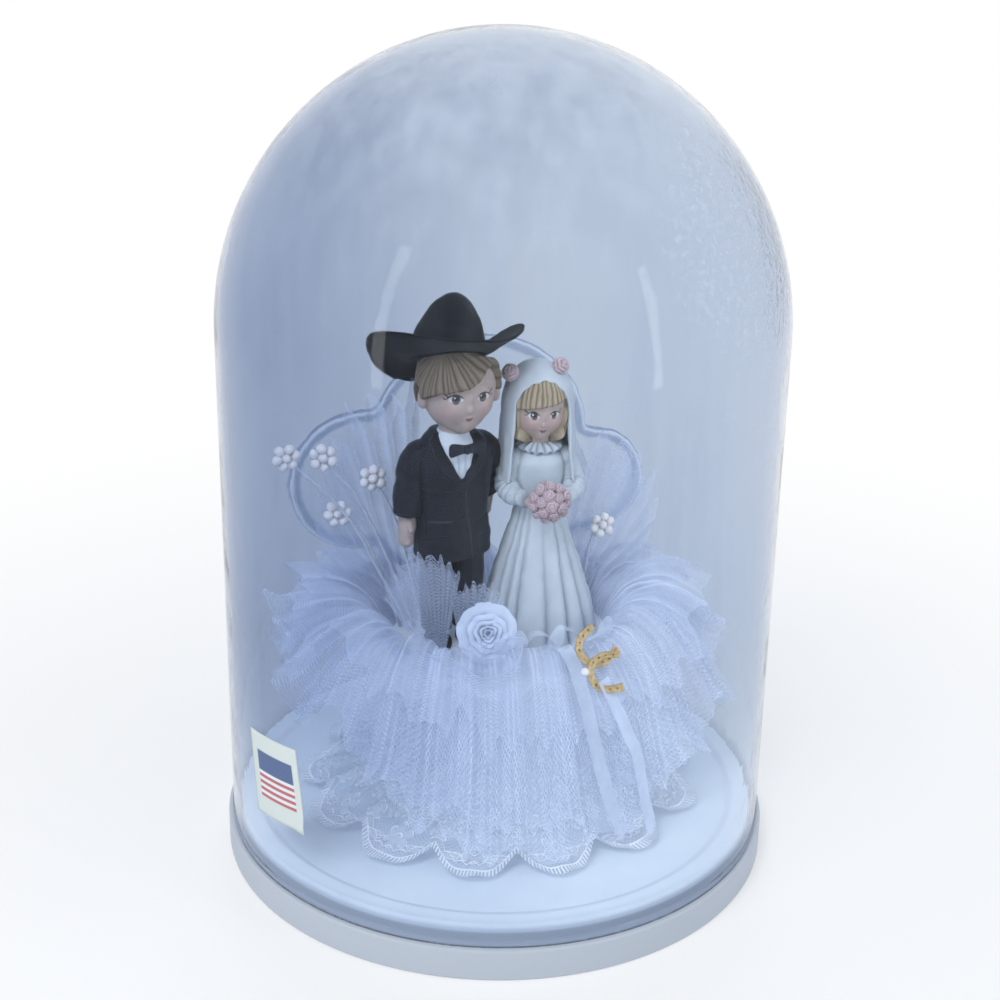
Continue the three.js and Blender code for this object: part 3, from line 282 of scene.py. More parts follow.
def rounded(corners: Rows, radius: float, steps: int = 5) -> Array:
    """A profile with its corners rounded.

    Each corner becomes a short quadratic curve that starts and ends at most radius away from it.

    Args:
        corners: (r, z) points.
        radius: the most that a corner is rounded.
        steps: points in each rounding.

    Returns:
        The profile's points.
    """
    points = np.asarray(corners, float)
    out = [points[:1]]
    share = spread(steps)[:, None]
    for before, corner, after in zip(points[:-2], points[1:-1], points[2:]):
        back, on = before - corner, after - corner
        length_back, length_on = np.linalg.norm(back), np.linalg.norm(on)
        start = corner + back / length_back * min(radius, length_back * 0.45)
        end = corner + on / length_on * min(radius, length_on * 0.45)
        out.append(start * (1 - share) ** 2 + 2 * corner * share * (1 - share) + end * share**2)
    out.append(points[-1:])
    return np.concatenate(out)


def capped(rows: Array, first: Array, last: Array) -> Surface:
    """A form whose rows of points are closed by one point before the first row and one after the last."""
    ends = [np.broadcast_to(end, rows[:1].shape) for end in (first, last)]
    return Surface.grid(np.concatenate([ends[0], rows, ends[1]]))


def oval_form(
    stops: Rows, rows: int, columns: int, relief: Optional[Relief] = None
) -> Surface:
    """A closed form of oval sections.

    At each height the section is an ellipse with its own centre, half width and half depth, and the
    relief pushes a point straight out from the section's centre.

    Args:
        stops: (height, centre x, centre y, half width, half depth) rows, with the heights rising.
        rows: rows of points.
        columns: points round each section.
        relief: gives how far out a point moves, from its x, y and z.

    Returns:
        The form, closed at both ends.
    """
    low, high = stops[0][0], stops[-1][0]
    eased = 0.5 - 0.5 * np.cos(spread(rows, 0, math.pi))
    z = low + (high - low) * eased * 0.5 + (high - low) * spread(rows) * 0.5
    centre_x, centre_y, half_w, half_d = through(stops, z).T
    angle = spread(columns + 1, 0, TAU)[None, :]
    x, y = np.cos(angle) * half_w[:, None], np.sin(angle) * half_d[:, None]
    if relief is not None:
        length = np.maximum(np.hypot(x, y), 1e-6)
        out = relief(x + centre_x[:, None], y + centre_y[:, None], z[:, None] + 0 * angle)
        x, y = x * (1 + out / length), y * (1 + out / length)
    body = stacked(x + centre_x[:, None], y + centre_y[:, None], z[:, None])
    return capped(body, body[0, :-1].mean(axis=0), body[-1, :-1].mean(axis=0))


def ball_form(
    centre: Sequence[float], half: Sequence[float], rows: int, columns: int, relief: Optional[Relief] = None
) -> Surface:
    """A round form about a centre.

    A direction on the unit ball is stretched by the half sizes, and the relief is added along it.

    Args:
        centre: its centre.
        half: half width, half depth, half height.
        rows: rows from the bottom pole to the top pole.
        columns: points round each row.
        relief: gives the extra length from the direction's x, y and z.

    Returns:
        The form.
    """
    tilt = spread(rows, -math.pi / 2, math.pi / 2)[:, None]
    angle = spread(columns + 1, 0, TAU)[None, :]
    x, y, z = np.cos(tilt) * np.cos(angle), np.cos(tilt) * np.sin(angle), np.sin(tilt) + 0 * angle
    extra = relief(x, y, z) if relief is not None else 0 * x
    point = stacked(x * (half[0] + extra), y * (half[1] + extra), z * (half[2] + extra))
    return Surface.grid(point + np.asarray(centre, float))


def tube(path: Array, radii: Array, columns: int) -> Surface:
    """A round tube along a path, closed at both ends.

    The section stands across the path, and its frame is carried along without twist from the first one.

    Args:
        path: n x 3 points.
        radii: n radii.
        columns: points round the section.

    Returns:
        The tube.
    """
    along = unit(np.gradient(path, axis=0))
    side = np.cross(along, np.array([0.0, 0.0, 1.0]))
    side[np.linalg.norm(side, axis=1) < 1e-3] = [1.0, 0.0, 0.0]
    side = unit(side)
    up = np.cross(side, along)
    angle = spread(columns + 1, 0, TAU)[None, :, None]
    ring = np.cos(angle) * side[:, None] + np.sin(angle) * up[:, None]
    return capped(path[:, None] + ring * radii[:, None, None], path[0], path[-1])


def smooth_path(points: Rows, count: int) -> Array:
    """A smooth path through points, evenly counted by their number."""
    table = [(i, *point) for i, point in enumerate(points)]
    return through(table, spread(count, 0, len(points) - 1))


# Finishes


class Wire:
    """A socket of a material's nodes, with arithmetic."""

    def __init__(self, tree: bpy.types.NodeTree, socket: bpy.types.NodeSocket) -> None:
        """Keeps the tree and the socket."""
        self.tree = tree
        self.socket = socket

    def math(self, operation: str, *others: Value, clamp: bool = False) -> "Wire":
        """This socket and others through one Math node.

        Args:
            operation: the Math node's operation.
            others: the other inputs.
            clamp: whether the result is kept from 0 to 1.

        Returns:
            The result.
        """
        node = self.tree.nodes.new("ShaderNodeMath")
        node.operation, node.use_clamp = operation, clamp
        for place, value in zip(node.inputs, (self, *others)):
            if isinstance(value, Wire):
                self.tree.links.new(value.socket, place)
            else:
                place.default_value = value
        return Wire(self.tree, node.outputs[0])

    def __rsub__(self, other: Number) -> "Wire":
        """Difference from a number."""
        return self.math("MULTIPLY_ADD", -1.0, other)

    __add__ = __radd__ = partialmethod(math, "ADD")
    __sub__ = partialmethod(math, "SUBTRACT")
    __mul__ = __rmul__ = partialmethod(math, "MULTIPLY")
    __truediv__ = partialmethod(math, "DIVIDE")
    __pow__ = partialmethod(math, "POWER")
    __abs__ = partialmethod(math, "ABSOLUTE")
    fraction = partialmethod(math, "FRACT")
    sine = partialmethod(math, "SINE")
    most = partialmethod(math, "MAXIMUM")
    least = partialmethod(math, "MINIMUM")

    def over(self, low: float, high: float) -> "Wire":
        """A smooth step from 0 at low to 1 at high. With low above high it falls.

        Args:
            low: where it is 0.
            high: where it is 1.

        Returns:
            The step.
        """
        node = self.tree.nodes.new("ShaderNodeMapRange")
        node.interpolation_type = "SMOOTHSTEP"
        ends = (high, low, 1.0, 0.0) if low > high else (low, high, 0.0, 1.0)
        self.tree.links.new(self.socket, node.inputs[0])
        for place, value in zip(node.inputs[1:5], ends):
            place.default_value = value
        return Wire(self.tree, node.outputs[0])


class Paint:
    """A material or a world while it is being made."""

    def __init__(self, name: str, kind: str = "Material") -> None:
        """Starts an empty node tree."""
        self.kind = kind
        self.made = (bpy.data.materials if kind == "Material" else bpy.data.worlds).new(name)
        self.made.use_nodes = True
        self.tree = self.made.node_tree
        self.tree.nodes.clear()

    def node(
        self,
        kind: str,
        settings: Optional[dict[str, object]] = None,
        inputs: Optional[dict[Union[str, int], object]] = None,
    ) -> bpy.types.Node:
        """Adds a node.

        Args:
            kind: the node's type.
            settings: its settings, set first. stops are a ramp's (place, colour) pairs.
            inputs: values or wires by the socket's name or number.

        Returns:
            The node.
        """
        node = self.tree.nodes.new(kind)
        for name, value in (settings or {}).items():
            if name == "stops":
                ramp = node.color_ramp
                while len(ramp.elements) < len(value):
                    ramp.elements.new(0.5)
                for element, (place, colour) in zip(ramp.elements, value):
                    element.position, element.color = place, (*colour, 1.0)
            else:
                setattr(node, name, value)
        for key, value in (inputs or {}).items():
            socket = node.inputs[key]
            if isinstance(value, Wire):
                self.tree.links.new(value.socket, socket)
            elif isinstance(value, bpy.types.NodeSocket):
                self.tree.links.new(value, socket)
            else:
                colour = socket.type == "RGBA" and len(value) == 3
                socket.default_value = (*value, 1.0) if colour else value
        return node

    def wire(self, node: bpy.types.Node, output: Union[str, int] = 0) -> Wire:
        """A node's output as a wire."""
        return Wire(self.tree, node.outputs[output])

    def place(self) -> Wire:
        """The piece's own coordinates in millimetres."""
        return self.wire(self.node("ShaderNodeAttribute", {"attribute_name": "place"}), "Vector")

    def object_place(self) -> Wire:
        """Object coordinates in millimetres, for the pieces that come from the CAD model."""
        inputs = {0: self.node("ShaderNodeTexCoord").outputs["Object"], "Scale": 1 / MM}
        return self.wire(self.node("ShaderNodeVectorMath", {"operation": "SCALE"}, inputs))

    def pattern(self) -> tuple[Wire, Wire]:
        """The piece's pattern coordinates across and along."""
        parts = self.parts(self.wire(self.node("ShaderNodeUVMap", {"uv_map": "pattern"})))
        return parts[0], parts[1]

    def parts(self, vector: Wire) -> tuple[Wire, Wire, Wire]:
        """The three parts of a vector."""
        node = self.node("ShaderNodeSeparateXYZ", inputs={0: vector})
        return self.wire(node, 0), self.wire(node, 1), self.wire(node, 2)

    def vector(self, x: Value, y: Value, z: Value = 0.0) -> Wire:
        """A vector of three parts."""
        return self.wire(self.node("ShaderNodeCombineXYZ", inputs={0: x, 1: y, 2: z}))

    def stretched(self, vector: Wire, x: float, y: float, z: float) -> Wire:
        """A vector with each part scaled."""
        node = self.node("ShaderNodeVectorMath", {"operation": "MULTIPLY"}, {0: vector, 1: (x, y, z)})
        return self.wire(node)

    def noise(self, where: Wire, scale: float, detail: float = 2.0, roughness: float = 0.5) -> Wire:
        """Uneven values about 0.5. scale is how many features there are to a millimetre."""
        inputs = {"Vector": where, "Scale": scale, "Detail": detail, "Roughness": roughness}
        return self.wire(self.node("ShaderNodeTexNoise", inputs=inputs))

    def mix(self, factor: Value, first: object, second: object) -> Wire:
        """Two colours mixed."""
        node = self.node("ShaderNodeMix", {"data_type": "RGBA"}, {0: factor, 6: first, 7: second})
        return self.wire(node, 2)

    def bump(self, height: Wire, depth: float, strength: float = 1.0) -> Wire:
        """A normal from a height. depth is the height's size in millimetres."""
        inputs = {"Strength": strength, "Distance": depth * MM, "Height": height}
        return self.wire(self.node("ShaderNodeBump", inputs=inputs))

    def coated(self, **inputs: object) -> bpy.types.Node:
        """The Principled shader. An underscore in a name stands for a space."""
        named = {key.replace("_", " "): value for key, value in inputs.items()}
        return self.node("ShaderNodeBsdfPrincipled", inputs=named)

    def blend(self, factor: Value, first: bpy.types.Node, second: bpy.types.Node) -> bpy.types.Node:
        """Two shaders mixed."""
        return self.node("ShaderNodeMixShader", inputs={0: factor, 1: first.outputs[0], 2: second.outputs[0]})

    def seen(self) -> Wire:
        """1 for what the camera sees, straight, mirrored or through glass."""
        path = self.node("ShaderNodeLightPath")
        kinds = ("Camera", "Glossy", "Transmission")
        camera, glossy, glass = (self.wire(path, f"Is {kind} Ray") for kind in kinds)
        return camera.most(glossy).most(glass)

    def done(self, shader: bpy.types.Node) -> Union[Material, bpy.types.World]:
        """Puts a shader on the output and gives the material or the world."""
        output = self.node(f"ShaderNodeOutput{self.kind}")
        self.tree.links.new(shader.outputs[0], output.inputs["Surface"])
        return self.made


class Coordinates(Enum):
    """Where a finish reads its pattern: on a piece made here, or on one that comes from the CAD model."""

    OWN = "own"
    OBJECT = "object"


@dataclass(frozen=True)
class WhitePlastic:
    """Moulded white plastic, a little blue, with fine grain, dull patches and a few flecks of dirt.

    Below the band's top it takes the darker band colour: painted shade on the upright band, under a top
    that is painted lighter.
    """

    colour: Colour = (0.80, 0.87, 0.95)
    shade: Colour = (0.73, 0.80, 0.90)
    band: Colour = (0.46, 0.505, 0.575)
    shaded_band_top: Pair = (15.2, 14.2)
    dirt: Colour = (0.30, 0.29, 0.27)
    fleck_share: float = 0.755

    def paint(self, name: str, where: Coordinates = Coordinates.OWN) -> Material:
        """Makes the material.

        Args:
            name: the material's name.
            where: which coordinates it reads.

        Returns:
            The material.
        """
        p = Paint(name)
        spot = p.place() if where is Coordinates.OWN else p.object_place()
        clouds = p.noise(spot, 0.03, 4)
        grain = p.noise(spot, 3.0, 2)
        flecks = p.noise(spot, 0.55, 3, 0.7).over(self.fleck_share, self.fleck_share + 0.03)
        near = p.noise(spot, 0.035, 1).over(0.52, 0.6)
        _, _, height = p.parts(spot)
        colour = p.mix(clouds.over(0.35, 0.7), self.shade, self.colour)
        # Painted shade: the upright band is darker than the top, which is painted lighter.
        colour = p.mix(height.over(*self.shaded_band_top), colour, self.band)
        colour = p.mix(flecks * near * 0.8, colour, self.dirt)
        rough, relief = 0.38 + clouds * 0.22, p.bump(grain + clouds, 0.02)
        return p.done(p.coated(Base_Color=colour, Roughness=rough, Normal=relief, Specular_IOR_Level=0.5))


@dataclass(frozen=True)
class ClearPlastic:
    """Clear moulded plastic with a grey-blue tint, rubbed dull.

    Its tint is painted deeper behind and at its sides, painted shade and painted reflection of the
    surroundings. The pattern's first coordinate is 1 on a moulded rim, which is painted darker, painted
    shade along the rim, and duller, and its second is 1 along that rim's crown, where a pale film paints a
    highlight line.
    """

    tint: Colour = (0.84, 0.89, 0.95)
    behind: Colour = (0.56, 0.62, 0.72)
    deep: Colour = (0.50, 0.57, 0.70)
    rim: Colour = (0.50, 0.56, 0.66)
    haze: Colour = (0.64, 0.71, 0.83)
    shadow: Colour = (0.95, 0.97, 0.99)
    most_haze: float = 0.30
    rim_haze: float = 0.12
    crown_painted_highlight: float = 0.0
    streak: float = 0.12
    rises: Pair = (188.0, 266.0)
    ior: float = 1.2

    def paint(self, name: str) -> Material:
        """Makes the material: glass and a dull film mixed by the rubbing and by painted reflection streaks,
        clear to the light of the lamps.

        Args:
            name: its name.

        Returns:
            The material.
        """
        p = Paint(name)
        spot = p.place()
        x, y, z = p.parts(spot)
        edge, crown = p.pattern()
        streaks = p.noise(p.stretched(spot, self.streak, self.streak, 0.012), 1.0, 3, 0.6)
        clouds = p.noise(spot, 0.02, 3, 0.55)
        scratches = p.noise(p.stretched(spot, 1.6, 1.6, 0.05), 1.0, 2, 0.6).over(0.66, 0.8)
        # The film's streaks thicken towards the top and the back: partly rubbing, partly painted reflection.
        where = z.over(*self.rises) * 0.6 + y.over(-30.0, 50.0) * 0.4 + 0.02
        rubbed = (streaks.over(0.42, 0.72) * 0.55 + clouds.over(0.4, 0.7) * 0.6) * where + scratches * 0.03
        amount = rubbed.math("MULTIPLY", self.most_haze, clamp=True)
        # Along the backdrop rim's crown the pale film paints a highlight line.
        amount = amount.most(edge * self.rim_haze).most(crown * self.crown_painted_highlight)
        ripple = p.noise(spot, 0.06, 3, 0.6)
        patch = self.patch(p, spot)
        wrinkles = p.noise(spot, 0.28, 4, 0.6) * patch
        amount = amount.most(p.noise(spot, 0.42, 4, 0.65).over(0.5, 0.68) * patch * 0.3)
        # Painted shade and painted reflection: the tint is deeper behind and at the sides.
        tint_and_painted_shade = p.mix(y.over(-30.0, 60.0), self.tint, self.behind)
        beside = (x.over(-8.0, -84.0) * 0.95).most(x.over(35.0, 90.0) * 0.6)
        tint_and_painted_shade = p.mix(beside * (z.over(18.0, 80.0) * 0.75 + 0.25), tint_and_painted_shade, self.deep)
        # On a rim the base colour takes the darker rim tint: painted shade along the rim.
        glass = p.coated(
            Base_Color=p.mix(edge, tint_and_painted_shade, self.rim),
            Roughness=0.04,
            IOR=self.ior,
            Transmission_Weight=1.0,
            Normal=p.bump(ripple + wrinkles * 2.4, 0.25, 0.5),
        )
        film = p.coated(Base_Color=self.haze, Roughness=0.55)
        clear = p.node("ShaderNodeBsdfTransparent", inputs={"Color": self.shadow})
        shaded = p.wire(p.node("ShaderNodeLightPath"), "Is Shadow Ray")
        return p.done(p.blend(shaded, p.blend(amount, glass, film), clear))

    @staticmethod
    def patch(p: Paint, spot: Wire) -> Wire:
        """1 in the wrinkled patch high on the right of the dome, 0 elsewhere."""
        away = p.node("ShaderNodeVectorMath", {"operation": "DISTANCE"}, {0: spot, 1: (48.0, -52.0, 214.0)})
        return p.wire(away, "Value").over(46.0, 22.0)


@dataclass(frozen=True)
class LabelPaper:
    """A pale paper sticker with a plain navy band over plain red bars, all without words."""

    paper: Colour = (0.62, 0.68, 0.66)
    navy: Colour = (0.045, 0.09, 0.24)
    red: Colour = (0.46, 0.10, 0.12)
    white: Colour = (0.74, 0.77, 0.80)
    bars: int = 4

    def paint(self, name: str) -> Material:
        """Makes the material: bars over the printed field, and the band along its top.

        Args:
            name: its name.

        Returns:
            The material.
        """
        p = Paint(name)
        across, up = p.pattern()
        inside = across.over(0.14, 0.16) * across.over(0.9, 0.88) * up.over(0.22, 0.24) * up.over(0.80, 0.78)
        bar = (((up - 0.23) * (self.bars / 0.32)).fraction()).over(0.46, 0.54)
        field = p.mix(bar, self.red, self.white)
        field = p.mix(up.over(0.545, 0.555), field, self.navy)
        fibres = p.noise(p.place(), 2.5, 3)
        colour = p.mix(inside * (0.86 + fibres * 0.14), self.paper, field)
        return p.done(p.coated(Base_Color=colour, Roughness=0.62, Normal=p.bump(fibres, 0.01)))


@dataclass(frozen=True)
class Net:
    """Fine stiff net: crossed threads about open cells, denser where it is folded.

    The piece's own coordinates are the cloth's millimetres and, as the third, how closely it is folded.
    """

    colour: Colour = (0.68, 0.75, 0.93)
    cell: float = 0.92
    film: float = 0.10
    thread: float = 0.32
    folded: float = 0.5

    def paint(self, name: str) -> Material:
        """Makes the material.

        Args:
            name: its name.

        Returns:
            The material.
        """
        p = Paint(name)
        across, along, fold = p.parts(p.place())
        cloth = p.vector(across, along)
        lines = []
        for sign in (1.0, -1.0):
            row = ((across + along * sign) * (1 / (self.cell * math.sqrt(2)))).fraction()
            lines.append(abs(row - 0.5).over(0.3, 0.46))
        threads = lines[0].most(lines[1])
        uneven = p.noise(cloth, 0.1, 3, 0.6).over(0.3, 0.8)
        alpha = threads * self.thread + self.film + uneven * 0.07 + fold * self.folded
        tone = p.noise(cloth, 0.07, 2)
        colour = p.mix(tone.over(0.3, 0.75), tuple(c * 0.94 for c in self.colour), self.colour)
        return p.done(p.coated(Base_Color=colour, Roughness=0.7, Alpha=alpha.least(0.96), Sheen_Weight=0.2))


@dataclass(frozen=True)
class Lace:
    """Corded floral lace on a net ground, with a comb of stitches along its scallops."""

    colour: Colour = (0.74, 0.81, 0.95)
    cord: Colour = (0.88, 0.92, 0.99)
    width: float = 32.0
    flowers: tuple[tuple[float, ...], ...] = (
        (0.0, 12.5, 5.2, 3.0), (-16.0, 15.5, 4.0, 2.5), (16.0, 15.5, 4.0, 2.5), (-6.4, 22.0, 3.6, 2.5),
        (7.2, 23.5, 3.8, 2.5), (0.0, 33.0, 4.6, 2.5), (-16.0, 29.0, 4.2, 2.5), (16.0, 29.0, 4.2, 2.5),
    )
    leaves: tuple[tuple[float, ...], ...] = (
        (-9.2, 9.0, 26.0, 4.6, 1.5), (9.2, 9.0, -26.0, 4.6, 1.5), (-11.6, 19.5, -48.0, 3.8, 1.4),
        (12.0, 20.5, 48.0, 3.8, 1.4), (0.4, 19.4, 80.0, 3.0, 1.3),
    )

    def flower(self, dx: Wire, dy: Wire, radius: float, petals: float) -> tuple[Wire, Wire]:
        """One flower: its filled petals, and its corded outline with a ring about its heart.

        Args:
            dx: place across from its middle, in mm.
            dy: place inwards from its middle.
            radius: its reach.
            petals: half the number of petals.

        Returns:
            The fill and the cords.
        """
        far = (dx * dx + dy * dy).math("SQRT")
        wave = abs((dy.math("ARCTAN2", dx) * petals).sine()) ** 0.7
        edge = far - (wave * 0.42 + 0.58) * radius
        outline = abs(edge).over(0.46, 0.22)
        heart = abs(far - radius * 0.3).over(0.4, 0.18)
        return edge.over(0.3, -0.3), outline.most(heart)

    def leaf(self, dx: Wire, dy: Wire, turn: float, length: float, wide: float) -> tuple[Wire, Wire]:
        """One leaf: its fill, and its cords, an outline and a midrib.

        Args:
            dx: place across from its middle, in mm.
            dy: place inwards from its middle.
            turn: its direction, in degrees.
            length: half its length.
            wide: half its width.

        Returns:
            The fill and the cords.
        """
        c, s = math.cos(math.radians(turn)), math.sin(math.radians(turn))
        along, side = (dx * c + dy * s) * (1 / length), (dy * c - dx * s) * (1 / wide)
        edge = along * along + abs(side)
        midrib = abs(side).over(0.16, 0.06) * edge.over(1.1, 0.9)
        return edge.over(1.05, 0.95), abs(edge - 1.0).over(0.26, 0.1).most(midrib)

    def paint(self, name: str) -> Material:
        """Makes the material.

        The pattern's first coordinate counts scallops and its second runs in mm from the hem inwards. Each
        scallop holds a flower with leaves beside it, and half flowers between them, over crossed threads.

        Args:
            name: its name.

        Returns:
            The material.
        """
        p = Paint(name)
        across, inward = p.pattern()
        spot = p.vector(across * self.width, inward)
        sway = p.noise(spot, 0.16, 2) - 0.5
        sway_up = p.noise(p.vector(inward, across * self.width), 0.16, 2) - 0.5
        x = (across.fraction() - 0.5) * self.width + sway * 3.0
        up = inward + sway_up * 3.0
        motifs = [self.flower(x - a, up - b, *rest) for a, b, *rest in self.flowers]
        motifs += [self.leaf(x - a, up - b, *rest) for a, b, *rest in self.leaves]
        fill, cord = motifs[0]
        for more, lines in motifs[1:]:
            fill, cord = fill.most(more), cord.most(lines)
        ground = self.ground(across * self.width, inward)
        hem = inward - (1.0 - abs((across * math.pi).sine())) ** 1.2 * 5.0
        edge = abs(hem - 4.6).over(0.55, 0.28)
        arcs = abs(hem - 7.0 - abs((across * (7.0 * math.pi)).sine()) * 1.4).over(0.42, 0.2)
        comb = hem.over(4.8, 4.4) * hem.over(0.7, 1.1)
        stitches = abs((across * 27.0).fraction() - 0.5).over(0.36, 0.2) * comb
        cord = (cord.most(edge).most(arcs) * hem.over(3.8, 4.2)).most(stitches)
        body = (ground * 0.56).most(fill * 0.55).most(0.30) * hem.over(3.8, 4.2)
        body = body.most(hem.over(1.2, 1.6) * 0.22)
        braid = p.noise(spot, 1.4, 2)
        alpha = cord.most(body) * 0.97
        return p.done(
            p.coated(
                Base_Color=p.mix(cord, self.colour, self.cord),
                Roughness=0.75,
                Alpha=alpha,
                Normal=p.bump(cord + fill * 0.4 + braid * 0.3, 0.3),
            )
        )

    @staticmethod
    def ground(across: Wire, inward: Wire) -> Wire:
        """The crossed threads between the motifs."""
        rows = [((across + inward * sign) * 0.66).fraction() for sign in (1.0, -1.0)]
        lines = [abs(row - 0.5).over(0.32, 0.46) for row in rows]
        return lines[0].most(lines[1])


@dataclass(frozen=True)
class Satin:
    """Satin ribbon or organza: fine ribs across, and a soft sheen."""

    colour: Colour = (0.78, 0.83, 0.94)
    ribs: float = 1.6
    alpha: float = 1.0
    roughness: float = 0.38

    def paint(self, name: str) -> Material:
        """Makes the material.

        Args:
            name: its name.

        Returns:
            The material.
        """
        p = Paint(name)
        _, along = p.pattern()
        ribs = (along * (self.ribs * TAU)).sine()
        cloud = p.noise(p.place(), 0.25, 2)
        colour = p.mix(cloud.over(0.3, 0.7), tuple(c * 0.9 for c in self.colour), self.colour)
        return p.done(
            p.coated(
                Base_Color=colour,
                Roughness=self.roughness,
                Alpha=self.alpha,
                Normal=p.bump(ribs * 0.6 + cloud, 0.02, 0.4),
                Sheen_Weight=0.25,
            )
        )


@dataclass(frozen=True)
class GoldMetal:
    """Thin gold-coloured metal, brighter where it is rubbed."""

    colour: Colour = (0.80, 0.60, 0.32)
    dull: Colour = (0.58, 0.40, 0.19)

    def paint(self, name: str) -> Material:
        """Makes the material. The pattern's first coordinate is 1 in the holes and the groove, which are
        painted dark: painted shade in them.

        Args:
            name: its name.

        Returns:
            The material.
        """
        p = Paint(name)
        sunk, _ = p.pattern()
        cloud = p.noise(p.place(), 0.8, 3)
        colour = p.mix(cloud.over(0.35, 0.7), self.dull, self.colour)
        # Painted shade: the holes and the groove are darkened.
        colour = p.mix(sunk.over(0.3, 0.9) * 0.75, colour, tuple(c * 0.35 for c in self.dull))
        rough, relief = 0.36 + cloud * 0.2, p.bump(cloud, 0.05, 0.5)
        return p.done(p.coated(Base_Color=colour, Metallic=0.7, Roughness=rough, Normal=relief))


@dataclass(frozen=True)
class Pearl:
    """Moulded pearl: white with a clear coat and faint pink and green clouds."""

    colour: Colour = (0.86, 0.87, 0.87)
    blush: Colour = (0.84, 0.78, 0.79)

    def paint(self, name: str) -> Material:
        """Makes the material.

        Args:
            name: its name.

        Returns:
            The material.
        """
        p = Paint(name)
        cloud = p.noise(p.place(), 0.5, 2)
        colour = p.mix(cloud.over(0.35, 0.7), self.blush, self.colour)
        return p.done(p.coated(Base_Color=colour, Roughness=0.22, Coat_Weight=0.6, Coat_Roughness=0.1))


@dataclass(frozen=True)
class Bisque:
    """Unglazed painted bisque: matt, with faint mottling and a fine tooth.

    The pattern's first coordinate is how deep a corner lies in a crease, and blends it to the crease colour:
    painted shade in the creases, and on the black bisque, whose crease colour is lighter, painted highlight
    lines.
    """

    colour: Colour
    crease: Colour
    mottle: float = 0.08
    roughness: float = 0.62
    shine: float = 0.3
    glow: float = 0.0

    def base(self, p: Paint, spot: Wire) -> Wire:
        """The mottled colour with its painted crease shading.

        Args:
            p: the material being made.
            spot: the piece's own coordinates.

        Returns:
            The colour.
        """
        cloud = p.noise(spot, 0.22, 4)
        fine = p.noise(spot, 1.8, 2)
        tone = (cloud + fine * 0.4).over(0.4, 1.0)
        dark, pale = (tuple(min(c * (1 + k * self.mottle), 1.0) for c in self.colour) for k in (-1, 1))
        light = p.mix(tone, dark, pale)
        depth, _ = p.pattern()
        # Painted shade in the creases; on the black bisque the lighter crease colour paints highlight lines.
        return p.mix(depth.over(0.0, 1.0), light, self.crease)

    def finished(self, p: Paint, spot: Wire, colour: Wire) -> Material:
        """Puts a colour on the matt shader.

        Args:
            p: the material being made.
            spot: the piece's own coordinates.
            colour: its colour.

        Returns:
            The material.
        """
        tooth = p.noise(spot, 5.0, 2)
        return p.done(
            p.coated(
                Base_Color=colour,
                Roughness=self.roughness,
                Specular_IOR_Level=self.shine,
                Normal=p.bump(tooth, 0.012, 0.5),
                Subsurface_Weight=self.glow,
                Subsurface_Radius=(0.6, 0.4, 0.3),
                Subsurface_Scale=0.002,
            )
        )

    def paint(self, name: str) -> Material:
        """Makes the material.

        Args:
            name: its name.

        Returns:
            The material.
        """
        p = Paint(name)
        spot = p.place()
        return self.finished(p, spot, self.base(p, spot))


@dataclass(frozen=True)
class FaceZones:
    """Where a doll face is painted, in mm from the head's centre: x to the right, z up."""

    middle: float
    eye_out: float
    eye_up: float
    eye_size: float
    mouth_up: float
    mouth_size: float
    cheek_out: float
    cheek_up: float
    lashes: int = 3


